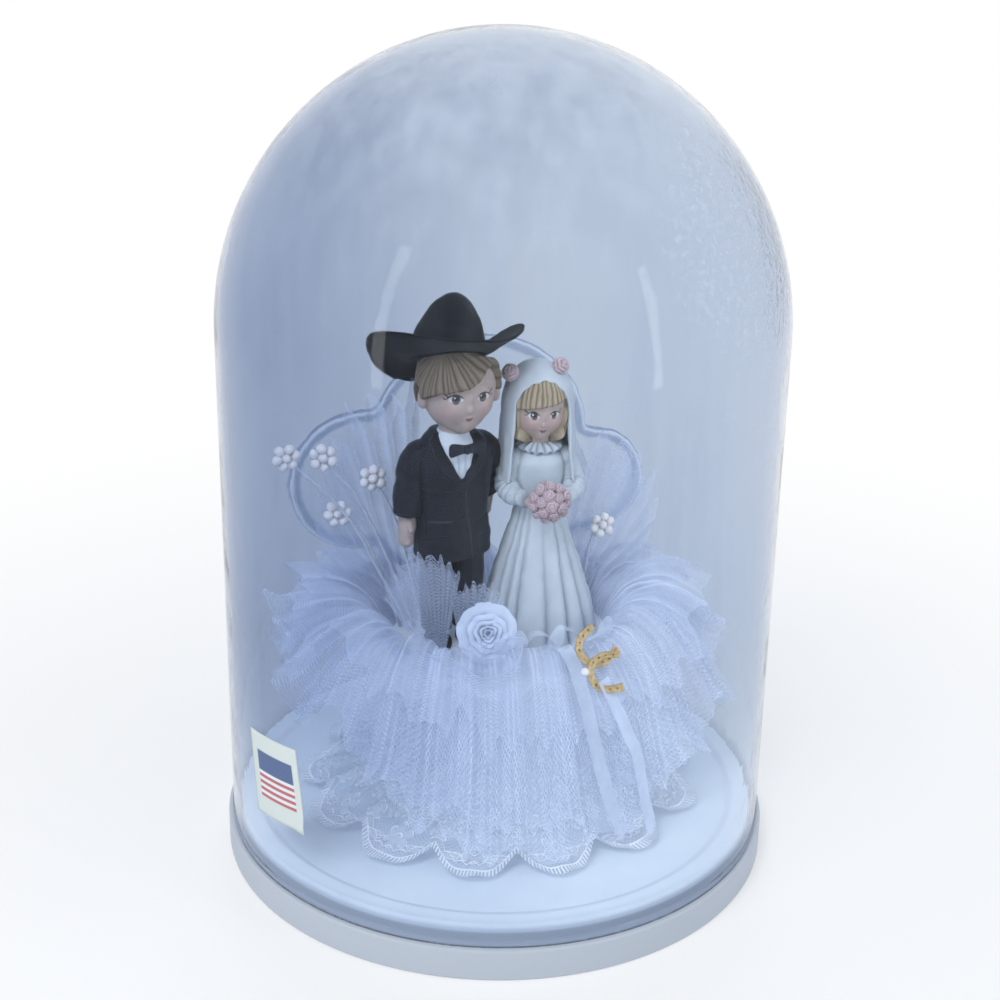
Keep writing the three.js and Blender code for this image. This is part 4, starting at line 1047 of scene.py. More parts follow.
@dataclass(frozen=True)
class PaintedSkin(Bisque):
    """Bisque in a skin colour, with a doll's face painted on its front."""

    zones: FaceZones = FaceZones(0.2, 4.6, -2.2, 1.0, -9.0, 1.0, 6.4, -6.6)
    iris: Colour = (0.10, 0.075, 0.06)
    white: Colour = (0.62, 0.63, 0.66)
    lash: Colour = (0.035, 0.03, 0.032)
    lip: Colour = (0.29, 0.12, 0.12)
    blush: Colour = (0.56, 0.27, 0.25)
    brow: Colour = (0.33, 0.24, 0.15)
    glint: Colour = (0.75, 0.77, 0.80)

    def paint(self, name: str) -> Material:
        """Makes the material: eyes, lids, lashes, brows, lips and blush laid over the skin one by one.

        Args:
            name: its name.

        Returns:
            The material.
        """
        p = Paint(name)
        spot = p.place()
        x, y, z = p.parts(spot)
        zone = self.zones
        front = y.over(-2.0, -4.0)
        colour = self.base(p, spot)

        def oval(dx: Wire, dz: Wire, half_w: float, half_h: float, soft: float) -> Wire:
            """1 inside an oval, falling to 0 over its soft rim."""
            far = (dx * (1 / half_w)) ** 2 + (dz * (1 / half_h)) ** 2
            return far.over(1 + soft, 1 - soft)

        for side in (-1.0, 1.0):
            cheek = oval(x - (zone.middle + side * zone.cheek_out), z - zone.cheek_up, 3.6, 3.0, 0.98)
            colour = p.mix(cheek * front * 0.2, colour, self.blush)
        for side in (-1.0, 1.0):
            size = zone.eye_size
            dx = (x - (zone.middle + side * zone.eye_out)) * (side / size)
            dz = (z - zone.eye_up) * (1 / size)
            eye = oval(dx, dz, 1.75, 1.25, 0.14) * front
            colour = p.mix(eye, colour, self.white)
            seen = oval(dx + 0.05, dz, 1.1, 1.25, 0.12) * eye
            colour = p.mix(seen, colour, self.iris)
            low_glow = oval(dx + 0.1, dz + 0.5, 0.7, 0.4, 0.5) * seen * 0.5
            colour = p.mix(low_glow, colour, tuple(c * 3 for c in self.iris))
            colour = p.mix(oval(dx + 0.1, dz, 0.56, 0.6, 0.2) * seen, colour, self.lash)
            # A painted highlight in each eye.
            glint = oval(dx + 0.1 + 0.35 * side, dz - 0.42, 0.26, 0.26, 0.3) * front
            colour = p.mix(glint, colour, self.glint)
            bend = dx - 0.2
            arch = dz - (1.28 - bend * bend * 0.26)
            lid = abs(arch).over(0.32, 0.16) * abs(dx - 0.3).over(2.2, 1.8)
            under = abs(dz + (1.15 - dx * dx * 0.27)).over(0.2, 0.06) * abs(dx).over(1.7, 1.2) * 0.5
            strokes = ((dz * 0.62 - dx * 0.5) * 1.1).fraction()
            fringe = abs(strokes - 0.5).over(0.24, 0.1) * dx.over(1.6, 1.8) * dx.over(3.3, 2.9)
            fringe = fringe * dz.over(-0.3, 0.0) * dz.over(2.4, 2.1)
            brow = abs(dz - (3.5 - dx * dx * 0.13)).over(0.3, 0.05) * abs(dx - 0.3).over(2.6, 1.4) * 0.3
            colour = p.mix(brow * front, colour, self.brow)
            colour = p.mix(lid.most(fringe).most(under) * front * 0.92, colour, self.lash)
        mx = (x - zone.middle) * (1 / zone.mouth_size)
        mz = (z - zone.mouth_up) * (1 / zone.mouth_size)
        upper = oval(abs(mx) - 0.62, mz - 0.22, 0.95, 0.46, 0.3)
        lower = oval(mx, mz + 0.42, 1.15, 0.55, 0.3)
        colour = p.mix(upper.most(lower) * front * 0.85, colour, self.lip)
        line = abs(mz + 0.03 - mx * mx * 0.06).over(0.2, 0.06) * abs(mx).over(1.75, 1.2)
        colour = p.mix(line * front * 0.8, colour, tuple(c * 0.35 for c in self.lip))
        return self.finished(p, spot, colour)


@dataclass(frozen=True)
class CombedHair(Bisque):
    """Bisque hair. The pattern's second coordinate runs across the strands and streaks them."""

    streak: Colour = (0.62, 0.50, 0.33)

    def paint(self, name: str) -> Material:
        """Makes the material.

        Args:
            name: its name.

        Returns:
            The material.
        """
        p = Paint(name)
        spot = p.place()
        _, across = p.pattern()
        strands = p.noise(p.vector(across * 3.0, 0.0), 1.0, 3, 0.7)
        colour = p.mix(strands.over(0.4, 0.75) * 0.5, self.base(p, spot), self.streak)
        return self.finished(p, spot, colour)


@dataclass(frozen=True)
class Felt:
    """Black flocked felt, rubbed grey in places, with a soft nap."""

    colour: Colour = (0.007, 0.009, 0.013)
    rubbed: Colour = (0.028, 0.034, 0.045)

    def paint(self, name: str) -> Material:
        """Makes the material.

        Args:
            name: its name.

        Returns:
            The material.
        """
        p = Paint(name)
        spot = p.place()
        nap = p.noise(spot, 3.2, 3, 0.7)
        worn = p.noise(spot, 0.18, 4, 0.6)
        specks = p.noise(spot, 1.3, 2, 0.8).over(0.72, 0.8)
        colour = p.mix(worn.over(0.45, 0.75) * 0.7, self.colour, self.rubbed)
        colour = p.mix(specks * 0.5, colour, tuple(c * 2.6 for c in self.rubbed))
        return p.done(
            p.coated(
                Base_Color=colour,
                Roughness=0.95,
                Specular_IOR_Level=0.1,
                Sheen_Weight=0.12,
                Sheen_Roughness=0.4,
                Normal=p.bump(nap, 0.12),
            )
        )


@dataclass(frozen=True)
class Finishes:
    """Every material of the scene, made once."""

    white: Material
    white_cad: Material
    dome: Material
    plate: Material
    label: Material
    net: Material
    lace: Material
    satin: Material
    organza: Material
    chiffon: Material
    gold: Material
    pearl: Material
    wire: Material
    black: Material
    shirt: Material
    skin: Material
    groom_face: Material
    bride_face: Material
    groom_hair: Material
    bride_hair: Material
    gown: Material
    pink: Material
    felt: Material

    @classmethod
    def made(cls) -> "Finishes":
        """Makes every material."""
        skin: dict[str, Colour] = {"colour": (0.46, 0.365, 0.33), "crease": (0.28, 0.19, 0.17)}
        hair: dict[str, Colour] = {"colour": (0.225, 0.18, 0.135), "crease": (0.08, 0.062, 0.045)}
        clear = (0.93, 0.95, 0.98)
        groom_zones = FaceZones(0.2, 4.4, -1.1, 1.2, -7.9, 0.85, 6.4, -5.8)
        bride_zones = FaceZones(0.1, 3.15, -1.9, 0.88, -7.2, 0.72, 4.5, -5.0)
        return cls(
            white=WhitePlastic().paint("white_plastic"),
            white_cad=WhitePlastic().paint("white_plastic_stand", Coordinates.OBJECT),
            dome=ClearPlastic().paint("clear_dome"),
            # The backdrop's rim is painted darker, painted shade, and its crown carries a painted highlight
            # line.
            plate=ClearPlastic(
                tint=clear, behind=clear, deep=clear, rim=(0.56, 0.63, 0.75), haze=(0.86, 0.91, 0.98),
                most_haze=0.06, rim_haze=0.04, crown_painted_highlight=0.55, rises=(60.0, 200.0), ior=1.3,
            ).paint("clear_backdrop"),
            label=LabelPaper().paint("label_paper"),
            net=Net().paint("net"),
            lace=Lace().paint("lace"),
            satin=Satin().paint("satin_ribbon"),
            organza=Satin(colour=(0.70, 0.77, 0.93), ribs=2.4, alpha=0.42, roughness=0.5).paint("organza"),
            chiffon=Satin(colour=(0.66, 0.73, 0.90), ribs=2.4, alpha=0.8, roughness=0.6).paint("chiffon"),
            gold=GoldMetal().paint("gold_metal"),
            pearl=Pearl().paint("pearl"),
            wire=Satin(colour=(0.58, 0.63, 0.73), ribs=1.2, roughness=0.4).paint("wrapped_wire"),
            # The black bisque's crease colour is lighter than its own, so its crease lines are painted
            # highlights.
            black=Bisque((0.01, 0.0125, 0.02), (0.04, 0.046, 0.062), 0.3, 0.45, 0.28).paint("black_bisque"),
            shirt=Bisque((0.66, 0.70, 0.76), (0.38, 0.42, 0.50), 0.05).paint("white_bisque"),
            skin=Bisque(**skin).paint("skin_bisque"),
            groom_face=PaintedSkin(**skin, zones=groom_zones).paint("groom_face"),
            bride_face=PaintedSkin(**skin, zones=bride_zones).paint("bride_face"),
            groom_hair=CombedHair(**hair, streak=(0.33, 0.27, 0.20)).paint("groom_hair"),
            bride_hair=CombedHair(
                colour=(0.42, 0.345, 0.245), crease=(0.17, 0.13, 0.09), streak=(0.52, 0.44, 0.32)
            ).paint("bride_hair"),
            gown=Bisque((0.52, 0.565, 0.615), (0.21, 0.255, 0.33), 0.05).paint("gown_bisque"),
            pink=Bisque((0.56, 0.45, 0.475), (0.33, 0.22, 0.26), 0.08).paint("pink_bisque"),
            felt=Felt().paint("black_felt"),
        )


# Display case


@dataclass
class DisplayCase:
    """The round white base, the clear dome over it, and the paper label on the dome."""

    finish: Finishes
    radius: float = 90.0
    band: float = 10.7
    wall: float = 2.4
    step_inset: float = 3.9
    platform: float = 17.2
    recess_inset: float = 10.0
    foot_inset: float = 1.3
    side: float = 166.5
    cap: float = 89.7
    glass: float = 1.5
    columns: int = 192

    def base(self) -> bpy.types.Object:
        """The base: its section, with each edge rounded, turned about Z."""
        step, inner = self.radius - self.step_inset, self.radius - self.wall
        recess, floor = self.radius - self.recess_inset, self.platform - 1.0
        under, inside, ceiling = self.band - self.wall, step - self.wall, floor - self.wall
        corners = [
            (0, ceiling), (inside, ceiling), (inside, under), (inner, under), (inner, 0), (self.radius, 0),
            (self.radius, self.band - 0.4), (self.radius - 0.9, self.band), (step + 0.5, self.band),
            (step, self.band + 0.6), (step, self.platform - 0.8), (step - 0.9, self.platform),
            (recess, self.platform), (recess - 2.0, floor), (0, floor),
        ]
        profile = rounded(corners, 0.7, 6)
        surface = turned(profile[:, 0], profile[:, 1], self.columns)
        return surface.make("white_base", self.finish.white, "white_plastic", "display_base", "base")

    def wall_profile(self, inset: float) -> Array:
        """Half an ellipse over a straight side: (r, z) from the foot up to the crown."""
        spring = self.band + self.side
        radius = self.radius - self.foot_inset - 0.4
        angle = spread(56, 0, math.pi / 2)
        cap = ((radius - 0.2 - inset) * np.cos(angle), spring + (self.cap - inset) * np.sin(angle))
        side = (radius - inset - 0.2 * spread(24), self.band + 3.2 + (self.side - 3.2) * spread(24))
        return np.concatenate([np.stack(side, axis=1)[:-1], np.stack(cap, axis=1)])

    def dome(self) -> bpy.types.Object:
        """The dome: the inner profile down, round the foot's lip and up the outer one, turned about Z."""
        foot = self.radius - self.foot_inset
        outer, inner = self.wall_profile(0.0), self.wall_profile(self.glass)
        corners = [tuple(inner[0]), (inner[0, 0], self.band), (foot, self.band), (foot, self.band + 2.5)]
        lip = rounded([*corners, (outer[0, 0], self.band + 2.9), tuple(outer[0])], 0.4, 5)
        profile = np.concatenate([inner[::-1][:-1], lip, outer[1:]])
        profile[0, 0] = profile[-1, 0] = 0.0
        surface = turned(profile[:, 0], profile[:, 1], self.columns)
        # The foot's lip is marked as a rim, which the finish paints darker: painted shade where the dome sits
        # in the base.
        surface = surface.crease_shaded(lambda x, y, z: step(self.band + 4.4, self.band + 3.0, z))
        return surface.make("clear_dome", self.finish.dome, "clear_plastic", "dome", "dome")

    def label(self) -> bpy.types.Object:
        """The label: a thin tilted rectangle bent round the dome, with one corner lifting a little."""
        columns, rows = 26, 26
        u, v = np.meshgrid(spread(columns), spread(rows))
        tilt, centre = math.radians(7.7), math.radians(-156.6)
        along, up = (u - 0.5) * 25.6, (v - 0.5) * 28.0
        across = along * math.cos(tilt) - up * math.sin(tilt)
        rise = along * math.sin(tilt) + up * math.cos(tilt)
        inside = self.radius - self.foot_inset - 0.4 + 0.12
        angle = centre + across / inside
        lift = 0.9 * step(0.75, 1.0, u) * step(0.3, 0.0, v)

        def side(thick: float) -> Array:
            """One face of the paper, at a distance from its back."""
            r = inside + thick + lift
            return stacked(r * np.cos(angle), r * np.sin(angle), 48.2 + rise)

        uv = np.stack([u, v], axis=-1)
        front, back = side(0.2), side(0.0)
        edges = (np.s_[0], np.s_[-1], np.s_[:, 0], np.s_[:, -1])
        rims = [Surface.grid(np.stack([front[e], back[e]]), np.stack([uv[e], uv[e]])) for e in edges]
        surface = Surface.joined([Surface.grid(front, uv), Surface.grid(back, uv), *rims])
        return surface.make("paper_label", self.finish.label, "label_paper", "dome_label", "dome")

    def build(self) -> None:
        """Builds the case."""
        self.base()
        self.dome()
        self.label()


# Stand and backdrop

FLOOR = 16.2
STAGE = 72.0


@dataclass
class Stand:
    """The hidden plate, column and stage, which keep their CAD shape, and the clear backdrop."""

    finish: Finishes
    middle: Triple = (-1.5, 57.6, 37.7)
    left: Triple = (-40.2, 49.0, 24.1)
    right: Triple = (37.9, 41.5, 18.8)
    hub: Pair = (-1.5, 44.0)
    front: float = 20.5
    thickness: float = 3.0
    rim: float = 3.0
    panel: float = 1.8

    def outline(self, count: int) -> Array:
        """The backdrop's outline as (x, z).

        From the hub, each direction's reach is the farthest crossing of any lobe or of the body below them,
        and the reaches are then smoothed a little, which rounds the notches between the lobes.

        Args:
            count: how many points.

        Returns:
            The points, one for each direction.
        """
        angle = spread(count + 1, 0, TAU)[:-1] - math.pi / 2
        dx, dz = np.cos(angle), np.sin(angle)
        reach = np.zeros(count)
        for x, z, radius in (self.middle, self.left, self.right):
            ox, oz = self.hub[0] - x, self.hub[1] - z
            half = ox * dx + oz * dz
            inside = half * half - (ox * ox + oz * oz - radius * radius)
            reach = np.maximum(reach, np.where(inside > 0, -half + np.sqrt(np.maximum(inside, 0)), 0))
        corners = [(-15, -3.5), (15, -3.5), (15, 0), (34, 22), (37.9, 41.5), (-40.2, 49), (-34, 22), (-15, 0)]
        body = np.array(corners)
        for a, b in zip(body, np.roll(body, -1, axis=0)):
            ex, ez = b - a
            cross = dx * ez - dz * ex
            across = np.where(np.abs(cross) < 1e-9, 1e-9, cross)
            far = ((a[0] - self.hub[0]) * ez - (a[1] - self.hub[1]) * ex) / across
            px, pz = self.hub[0] + dx * far, self.hub[1] + dz * far
            on = ((px - a[0]) * ex + (pz - a[1]) * ez) / (ex * ex + ez * ez)
            reach = np.maximum(reach, np.where((far > 0) & (on >= -1e-6) & (on <= 1 + 1e-6), far, 0))
        kernel = bump(spread(13, -1, 1), 1.15)
        kernel /= kernel.sum()
        padded = np.concatenate([reach[-6:], reach, reach[:6]])
        blend = np.convolve(padded, kernel, "valid")
        high = step(-1.0, 3.0, self.hub[1] + dz * reach)
        reach = reach + (blend - reach) * high
        return np.stack([self.hub[0] + dx * reach, self.hub[1] + dz * reach], axis=1)

    def backdrop(self) -> bpy.types.Object:
        """The backdrop: each ring of points is the outline drawn inwards, at its own depth."""
        edge = self.outline(720)
        along = unit(np.roll(edge, -1, axis=0) - np.roll(edge, 1, axis=0))
        inward = np.stack([-along[:, 1], along[:, 0]], axis=1)
        foot = step(12.0, 4.0, edge[:, 1])[:, None]
        inward = inward + (unit(np.array(self.hub) - edge) - inward) * foot
        half = self.thickness / 2
        turn = spread(13, 0, math.pi)
        bead = [(1.1 - 1.1 * math.sin(t), half * math.cos(t)) for t in turn]
        sunk = half - (self.thickness - self.panel)
        section = [(self.rim + 1.0, sunk), (self.rim + 0.3, sunk + 0.1), (self.rim - 0.2, half * 0.55),
                   (self.rim - 0.9, half * 0.95), *bead, (self.rim, -half), (self.rim + 2.0, -half)]
        rings = []
        for inset, depth in section:
            ring = edge + inward * inset
            rings.append(stacked(ring[:, 0], self.front + half - depth, STAGE + ring[:, 1]))
        inner = edge + inward * (self.rim + 3.0)
        hub = np.array(self.hub)
        for share in (1.0, 0.75, 0.5, 0.25, 0.0):
            ring = hub + (inner - hub) * share
            rings.insert(0, stacked(ring[:, 0], self.front + self.thickness - self.panel, STAGE + ring[:, 1]))
            rings.append(stacked(ring[:, 0], self.front + self.thickness, STAGE + ring[:, 1]))
        points = np.stack(rings)
        points = np.concatenate([points, points[:, :1]], axis=1)
        # The rim is marked for the darker rim tint, painted shade, and its crown for a painted highlight
        # line.
        rim = np.zeros(points.shape[:2])
        rim[6:-6] = 1.0
        crown = np.zeros_like(rim)
        crown[9:12] = 1.0
        surface = Surface.grid(points, np.stack([rim, crown], axis=-1))
        return surface.make("clear_backdrop", self.finish.plate, "clear_plastic", "backdrop")

    def build(self) -> None:
        """Dresses the hidden parts and builds the backdrop."""
        for name in ("topper_plate", "topper_riser", "topper_stage"):
            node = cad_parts[name]
            node.data.materials.clear()
            node.data.materials.append(self.finish.white_cad)
        self.backdrop()


# Net and lace


def all_round(angle: Array, left: float, right: float, front: float, back: float) -> Array:
    """A length that changes smoothly from side to side and from front to back, by squared sine and cosine."""
    c, s = np.cos(angle), np.sin(angle)
    return np.where(c > 0, right, left) * c * c + np.where(s > 0, back, front) * s * s


CREST = math.radians(-58.0)


def net_ring(angle: Array, share: Array) -> Array:
    """The gathered net's upper face.

    It runs from the stage's rim out to its reach, swells up by a sine of the share, falls by a power of the
    share to its hang, and waves up and down in 18 pleats that grow towards the edge.

    Args:
        angle: the turn about Z.
        share: the place from the stage's rim, 0, to its reach, 1.

    Returns:
        The points.
    """
    rim_x, rim_y = 36.3 * np.cos(angle), 28.3 * np.sin(angle)
    reach = all_round(angle, 72.0, 78.0, 50.0, 68.0)
    hang = all_round(angle, 58.0, 41.0, 24.0, 40.0)
    depth = all_round(angle, 9.0, 9.0, 3.0, 9.0)
    swell = 12.0 * np.sin(math.pi * np.clip(share, 0, 1) ** 0.7)
    pleat = depth * share * np.cos((angle - CREST) * 18)
    x = rim_x + (reach * np.cos(angle) - rim_x) * share
    y = rim_y + (reach * np.sin(angle) - rim_y) * share
    return stacked(x, y, FLOOR + 54.6 + (hang - 54.6) * share**2.2 + swell + pleat)


def lace_skirt(angle: Array, share: Array) -> Array:
    """The lace's upper face: a hollow fall from the column to a hem that is lifted between its scallops."""
    wave = np.abs(np.cos((angle - CREST) * 13 / 2))
    reach = all_round(angle, 68.0, 71.0, 65.0, 62.0) - 8 * (1 - wave) * share**4
    radius = 12.3 + (reach - 12.3) * share
    z = FLOOR + 1.3 + 34.7 * (1 - share) ** 1.6 + 3.4 * share**2 * (1 - wave)
    return stacked(radius * np.cos(angle), radius * np.sin(angle), z)


def on_net(degrees: float, share: float, shift: Sequence[float] = (0, 0, 0)) -> Array:
    """A place on the gathered net: a direction, a share of the net's reach, and a shift from there."""
    return net_ring(np.array(math.radians(degrees)), np.array(share)) + np.array(shift, float)


def rose_place() -> Array:
    """Where the rose's middle is."""
    return on_net(-109, 0.14, (0, 0, 9.0))


@dataclass
class Cloth:
    """The gathered net, the standing net panels and the lace skirt."""

    finish: Finishes
    ring_length: float = 440.0
    ring_width: float = 58.0

    def ring_layer(
        self, seed: int, reach: float, lift: float, rise: float, pleats: int, deep: float, fall: float
    ) -> tuple[Array, Array]:
        """One layer of the gathered net.

        It follows the ring's face in sharp pleats, a triangle wave of the turn that grows outwards and is
        deepest at the sides. A pleat's tip also reaches farther out, so that the edge is pointed. In front it
        falls over the lace in flutes. The net is pressed down under the charm and the rose.

        Args:
            seed: for its uneven folds.
            reach: how far it reaches, as a share of the ring.
            lift: how far above the ring's face it lies.
            rise: how far its edge is lifted at the sides.
            pleats: how many pleats run round it.
            deep: half their depth at the edge.
            fall: how fully its front edge falls to the lace, from 0 to 1.

        Returns:
            Rows by columns of points, and how closely the net is folded at each.
        """
        angle, share = np.meshgrid(CREST + spread(1201, 0, TAU), spread(26))
        beside = np.cos(angle) ** 2
        phase = angle * pleats + 1.9 * np.sin(angle * 3 + seed) + 0.9 * np.sin(angle * 8 + 2 * seed)
        fold = 2 / math.pi * np.arcsin(0.97 * np.sin(phase))
        before = np.clip(-np.sin(angle), 0, 1) ** 1.5
        longer = 0.06 * fold + 0.045 * np.sin(angle * 11 + seed) + 0.02 * np.sin(angle * 23 + 3 * seed)
        teeth = 0.05 * np.sin(angle * 31 + 2 * seed) + 0.035 * np.sin(angle * 47 + seed)
        longer = longer + before * share**4 * teeth
        point = net_ring(angle, share * reach * (1 + share**2 * longer * (0.5 + 1.2 * beside)))
        uneven = waves(seed, 5, 6 * np.cos(angle), 6 * np.sin(angle), 2 * share) * 1.8 * share
        pleated = deep * share**0.8 * fold * (0.16 + 1.24 * beside)
        point[..., 2] += lift + rise * beside * share + pleated + uneven
        low = np.clip(0.44 + (0.34 + 0.16 * fall) * share + 0.5 * longer, 0, 0.985)
        hung = lace_skirt(angle, low)
        flute = np.sin(angle * 21 + seed + 0.9 * np.sin(angle * 6 + seed)) * share
        hung[..., 2] += 3.0 + lift * 0.3 + 1.1 * flute
        point += (hung - point) * (fall * before * step(0.45, 1.0, share))[..., None]
        for spot, drop, wide in (((21.5, -38.0, 77.0), 8.0, 21.0), (rose_place() - [0, 0, 2.0], 3.0, 12.0)):
            far = np.linalg.norm(point - np.asarray(spot), axis=-1)
            point[..., 2] -= drop * bump(far, wide)
        lines = np.abs(np.sin(phase)) ** 8 * (0.3 + 0.7 * np.sin(angle * 13 + 5 * seed) ** 2)
        lines = lines * (0.45 + 0.55 * beside)
        rays = np.abs(np.sin(phase * 1.63 + 2.2 * np.sin(angle * 5 + seed))) ** 14
        rays = rays * np.sin(angle * 17 + seed) ** 2
        broad = np.clip(np.sin(angle * 16 + 1.3 * seed + 1.2 * np.sin(angle * 5 + seed)), 0, 1) ** 2 * before
        point[..., 2] += 1.5 * share * (broad - 0.4 * before) * step(0.1, 0.5, share)
        gathered = step(0.32, 0.0, share) * 0.5 + 0.42 * broad * np.sin(math.pi * np.clip(share * 1.1, 0, 1))
        edge = step(0.97, 0.99, share) * 0.14
        return point, (lines + 0.7 * rays) * (1 - 0.5 * share) + gathered + edge

    def ring(self) -> None:
        """The gathered net's three layers."""
        plans = (
            (3, 1.0, 0.3, -7.0, 54, 1.7, 0.62),
            (8, 0.97, -1.6, 3.0, 47, 2.2, 0.97),
            (15, 0.84, 2.2, 9.0, 59, 1.9, 0.0),
        )
        uv = np.stack(np.meshgrid(spread(1201) * self.ring_length, spread(26) * self.ring_width), axis=-1)
        for number, plan in enumerate(plans, 1):
            points, folded = self.ring_layer(*plan)
            layer, node = Surface.grid(points, uv).dense(folded), "tulle_ruffle" if number == 1 else ""
            piece = layer.make(f"net_ring_{number}", self.finish.net, "net", node, closed=False)
            width, length = self.ring_width * MM, self.ring_length * MM
            share = 0.8 if number == 3 else 1.0
            if number > 1:
                length * share

    def swirl(self) -> None:
        """A strip of net standing on the ring in front, laid in a loop under the rose.

        Its foot follows a path over the ring's face, and it leans outwards and waves as it rises.
        """
        route = (
            (-141, 0.30), (-131, 0.42), (-121, 0.52), (-111, 0.58), (-102, 0.56), (-96, 0.46), (-94, 0.32),
            (-99, 0.2), (-107, 0.2), (-112, 0.32), (-110, 0.42),
        )
        path = smooth_path([on_net(*place) for place in route], 181)
        u, v = np.meshgrid(run_length(path), spread(15))
        outward = unit(path * [1.0, 1.0, 0.0])
        tall = 9.0 * (0.55 + 0.45 * np.sin(spread(181, 0, math.pi)))
        ripple = 0.7 * np.sin(u / 2.6) * v + 0.5 * np.sin(u / 5.1 + 1) * v
        point = path[None] + outward[None] * (v * v * tall * 0.35 + ripple)[..., None]
        point[..., 2] += -1.0 + v * tall
        ends = 0.8 * step(0.86, 1.0, v) + 0.3 * step(0.3, 0.0, v)
        folded = 0.25 + 0.45 * np.abs(np.sin(u / 5.2)) ** 6 + ends
        piece = Surface.grid(point, np.stack([u, v * 9.0], axis=-1)).dense(folded).make(
            "net_swirl", self.finish.net, "net", closed=False
        )

    def fan(
        self,
        name: str,
        hub: Triple,
        angles: Pair,
        reach: float,
        shares: Sequence[float],
        pleats: int,
        depth: float,
        flat: Pair,
    ) -> None:
        """A standing panel of net, two layers thick.

        Its pleats spread from a hub below the stage and are deepest at the tips, where the edge is drawn out
        and in with them.

        Args:
            name: its name, without the word for its cloth.
            hub: x, y and the drop below the stage's top.
            angles: its first and last direction, in degrees.
            reach: its longest reach.
            shares: its reach in each direction as shares.
            pleats: how many pleats it has.
            depth: how deep they are.
            flat: the panel's size before pleating, in metres.
        """
        x0, y0, drop = hub
        u, v = np.meshgrid(spread(241), spread(40))
        layers = []
        for layer in (0, 1):
            angle = np.radians(angles[0] + (angles[1] - angles[0]) * u)
            start = (drop + 0.3) / np.sin(angle)
            far = through([(i / (len(shares) - 1), s) for i, s in enumerate(shares)], u[0])[:, 0] * reach
            phase = u * pleats * TAU + 2.0 * layer + 0.8 * np.sin(5 * u)
            fold = 2 / math.pi * np.arcsin(0.97 * np.sin(phase))
            ragged = 1 + 0.033 * depth * fold + 0.03 * np.sin(u * pleats * 0.7 * TAU + layer)
            radius = start + (far[None, :] * (1 - 0.07 * layer) * ragged - start) * v
            y = y0 + depth * (0.2 + 0.9 * v) * fold + (layer - 0.5) * 0.8
            points = stacked(x0 + radius * np.cos(angle), y, STAGE - drop + radius * np.sin(angle))
            uv = np.stack([u * flat[0] / MM, v * flat[1] / MM], axis=-1)
            ends = 0.3 * step(0.25, 0.0, v) + 0.4 * step(0.975, 0.995, v)
            layers.append(Surface.grid(points, uv).dense(np.abs(fold) ** 8 * 0.9 * (1 - 0.6 * v) + ends))
        surface = Surface.joined(layers)
        piece = surface.make(f"net_{name}", self.finish.net, "net", f"tulle_{name}", closed=False)

    def fans(self) -> None:
        """The standing panels behind the couple and the tufts before the groom's legs."""
        plans = (
            ("fan_left", (-24, 14.6, 6), (89, 141), 87, (1, 0.97, 0.89, 0.7, 0.55, 0.5), 10, 1.7, 45, 78),
            ("fan_right", (26, 14.6, 6), (36, 97), 66, (0.56, 0.75, 0.9, 1, 0.93, 0.8), 9, 1.7, 45, 62),
            ("tuft_left", (-23.5, -15.5, 5), (80, 122), 43, (0.8, 0.95, 1, 0.96, 0.82), 13, 0.5, 24, 37),
            ("tuft_middle", (-15.5, -15.5, 5), (62, 100), 31, (0.82, 0.96, 1, 0.97, 0.86), 10, 0.5, 17, 25),
        )
        for name, *plan, width, length in plans:
            self.fan(name, *plan, (width / 1000, length / 1000))

    def lace(self) -> None:
        """The lace skirt, with soft folds between its scallops and a lightly curled hem."""
        angle, share = np.meshgrid(CREST + spread(781, 0, TAU), spread(44))
        point = lace_skirt(angle, share)
        uneven = waves(4, 5, 9 * np.cos(angle), 9 * np.sin(angle), 3 * share)
        fold = 0.8 * share * np.cos((angle - CREST) * 26) + 0.9 * uneven * share
        point[..., 2] += np.maximum(fold, -0.4) + 0.35
        point[..., 2] += 1.1 * step(0.93, 1.0, share) * (0.5 + 0.5 * np.cos(angle * 39))
        scallops, inward = (angle - CREST) / TAU * 13 + 0.5, (1 - share) * 56.0
        skirt = Surface.grid(point, np.stack([scallops, inward], axis=-1))
        piece = skirt.make("lace_skirt_cloth", self.finish.lace, "lace", "lace_skirt", closed=False)

    def build(self) -> None:
        """Builds the cloth."""
        self.ring()
        self.swirl()
        self.fans()
        self.lace()


# Trim


def seat_matrix() -> tuple[Array, Array]:
    """The turn and the place of the gold charm on the net."""
    return spun(-17, "Z") @ spun(66, "X"), on_net(-58, 0.5, (-1.9, -1.2, -1.0))


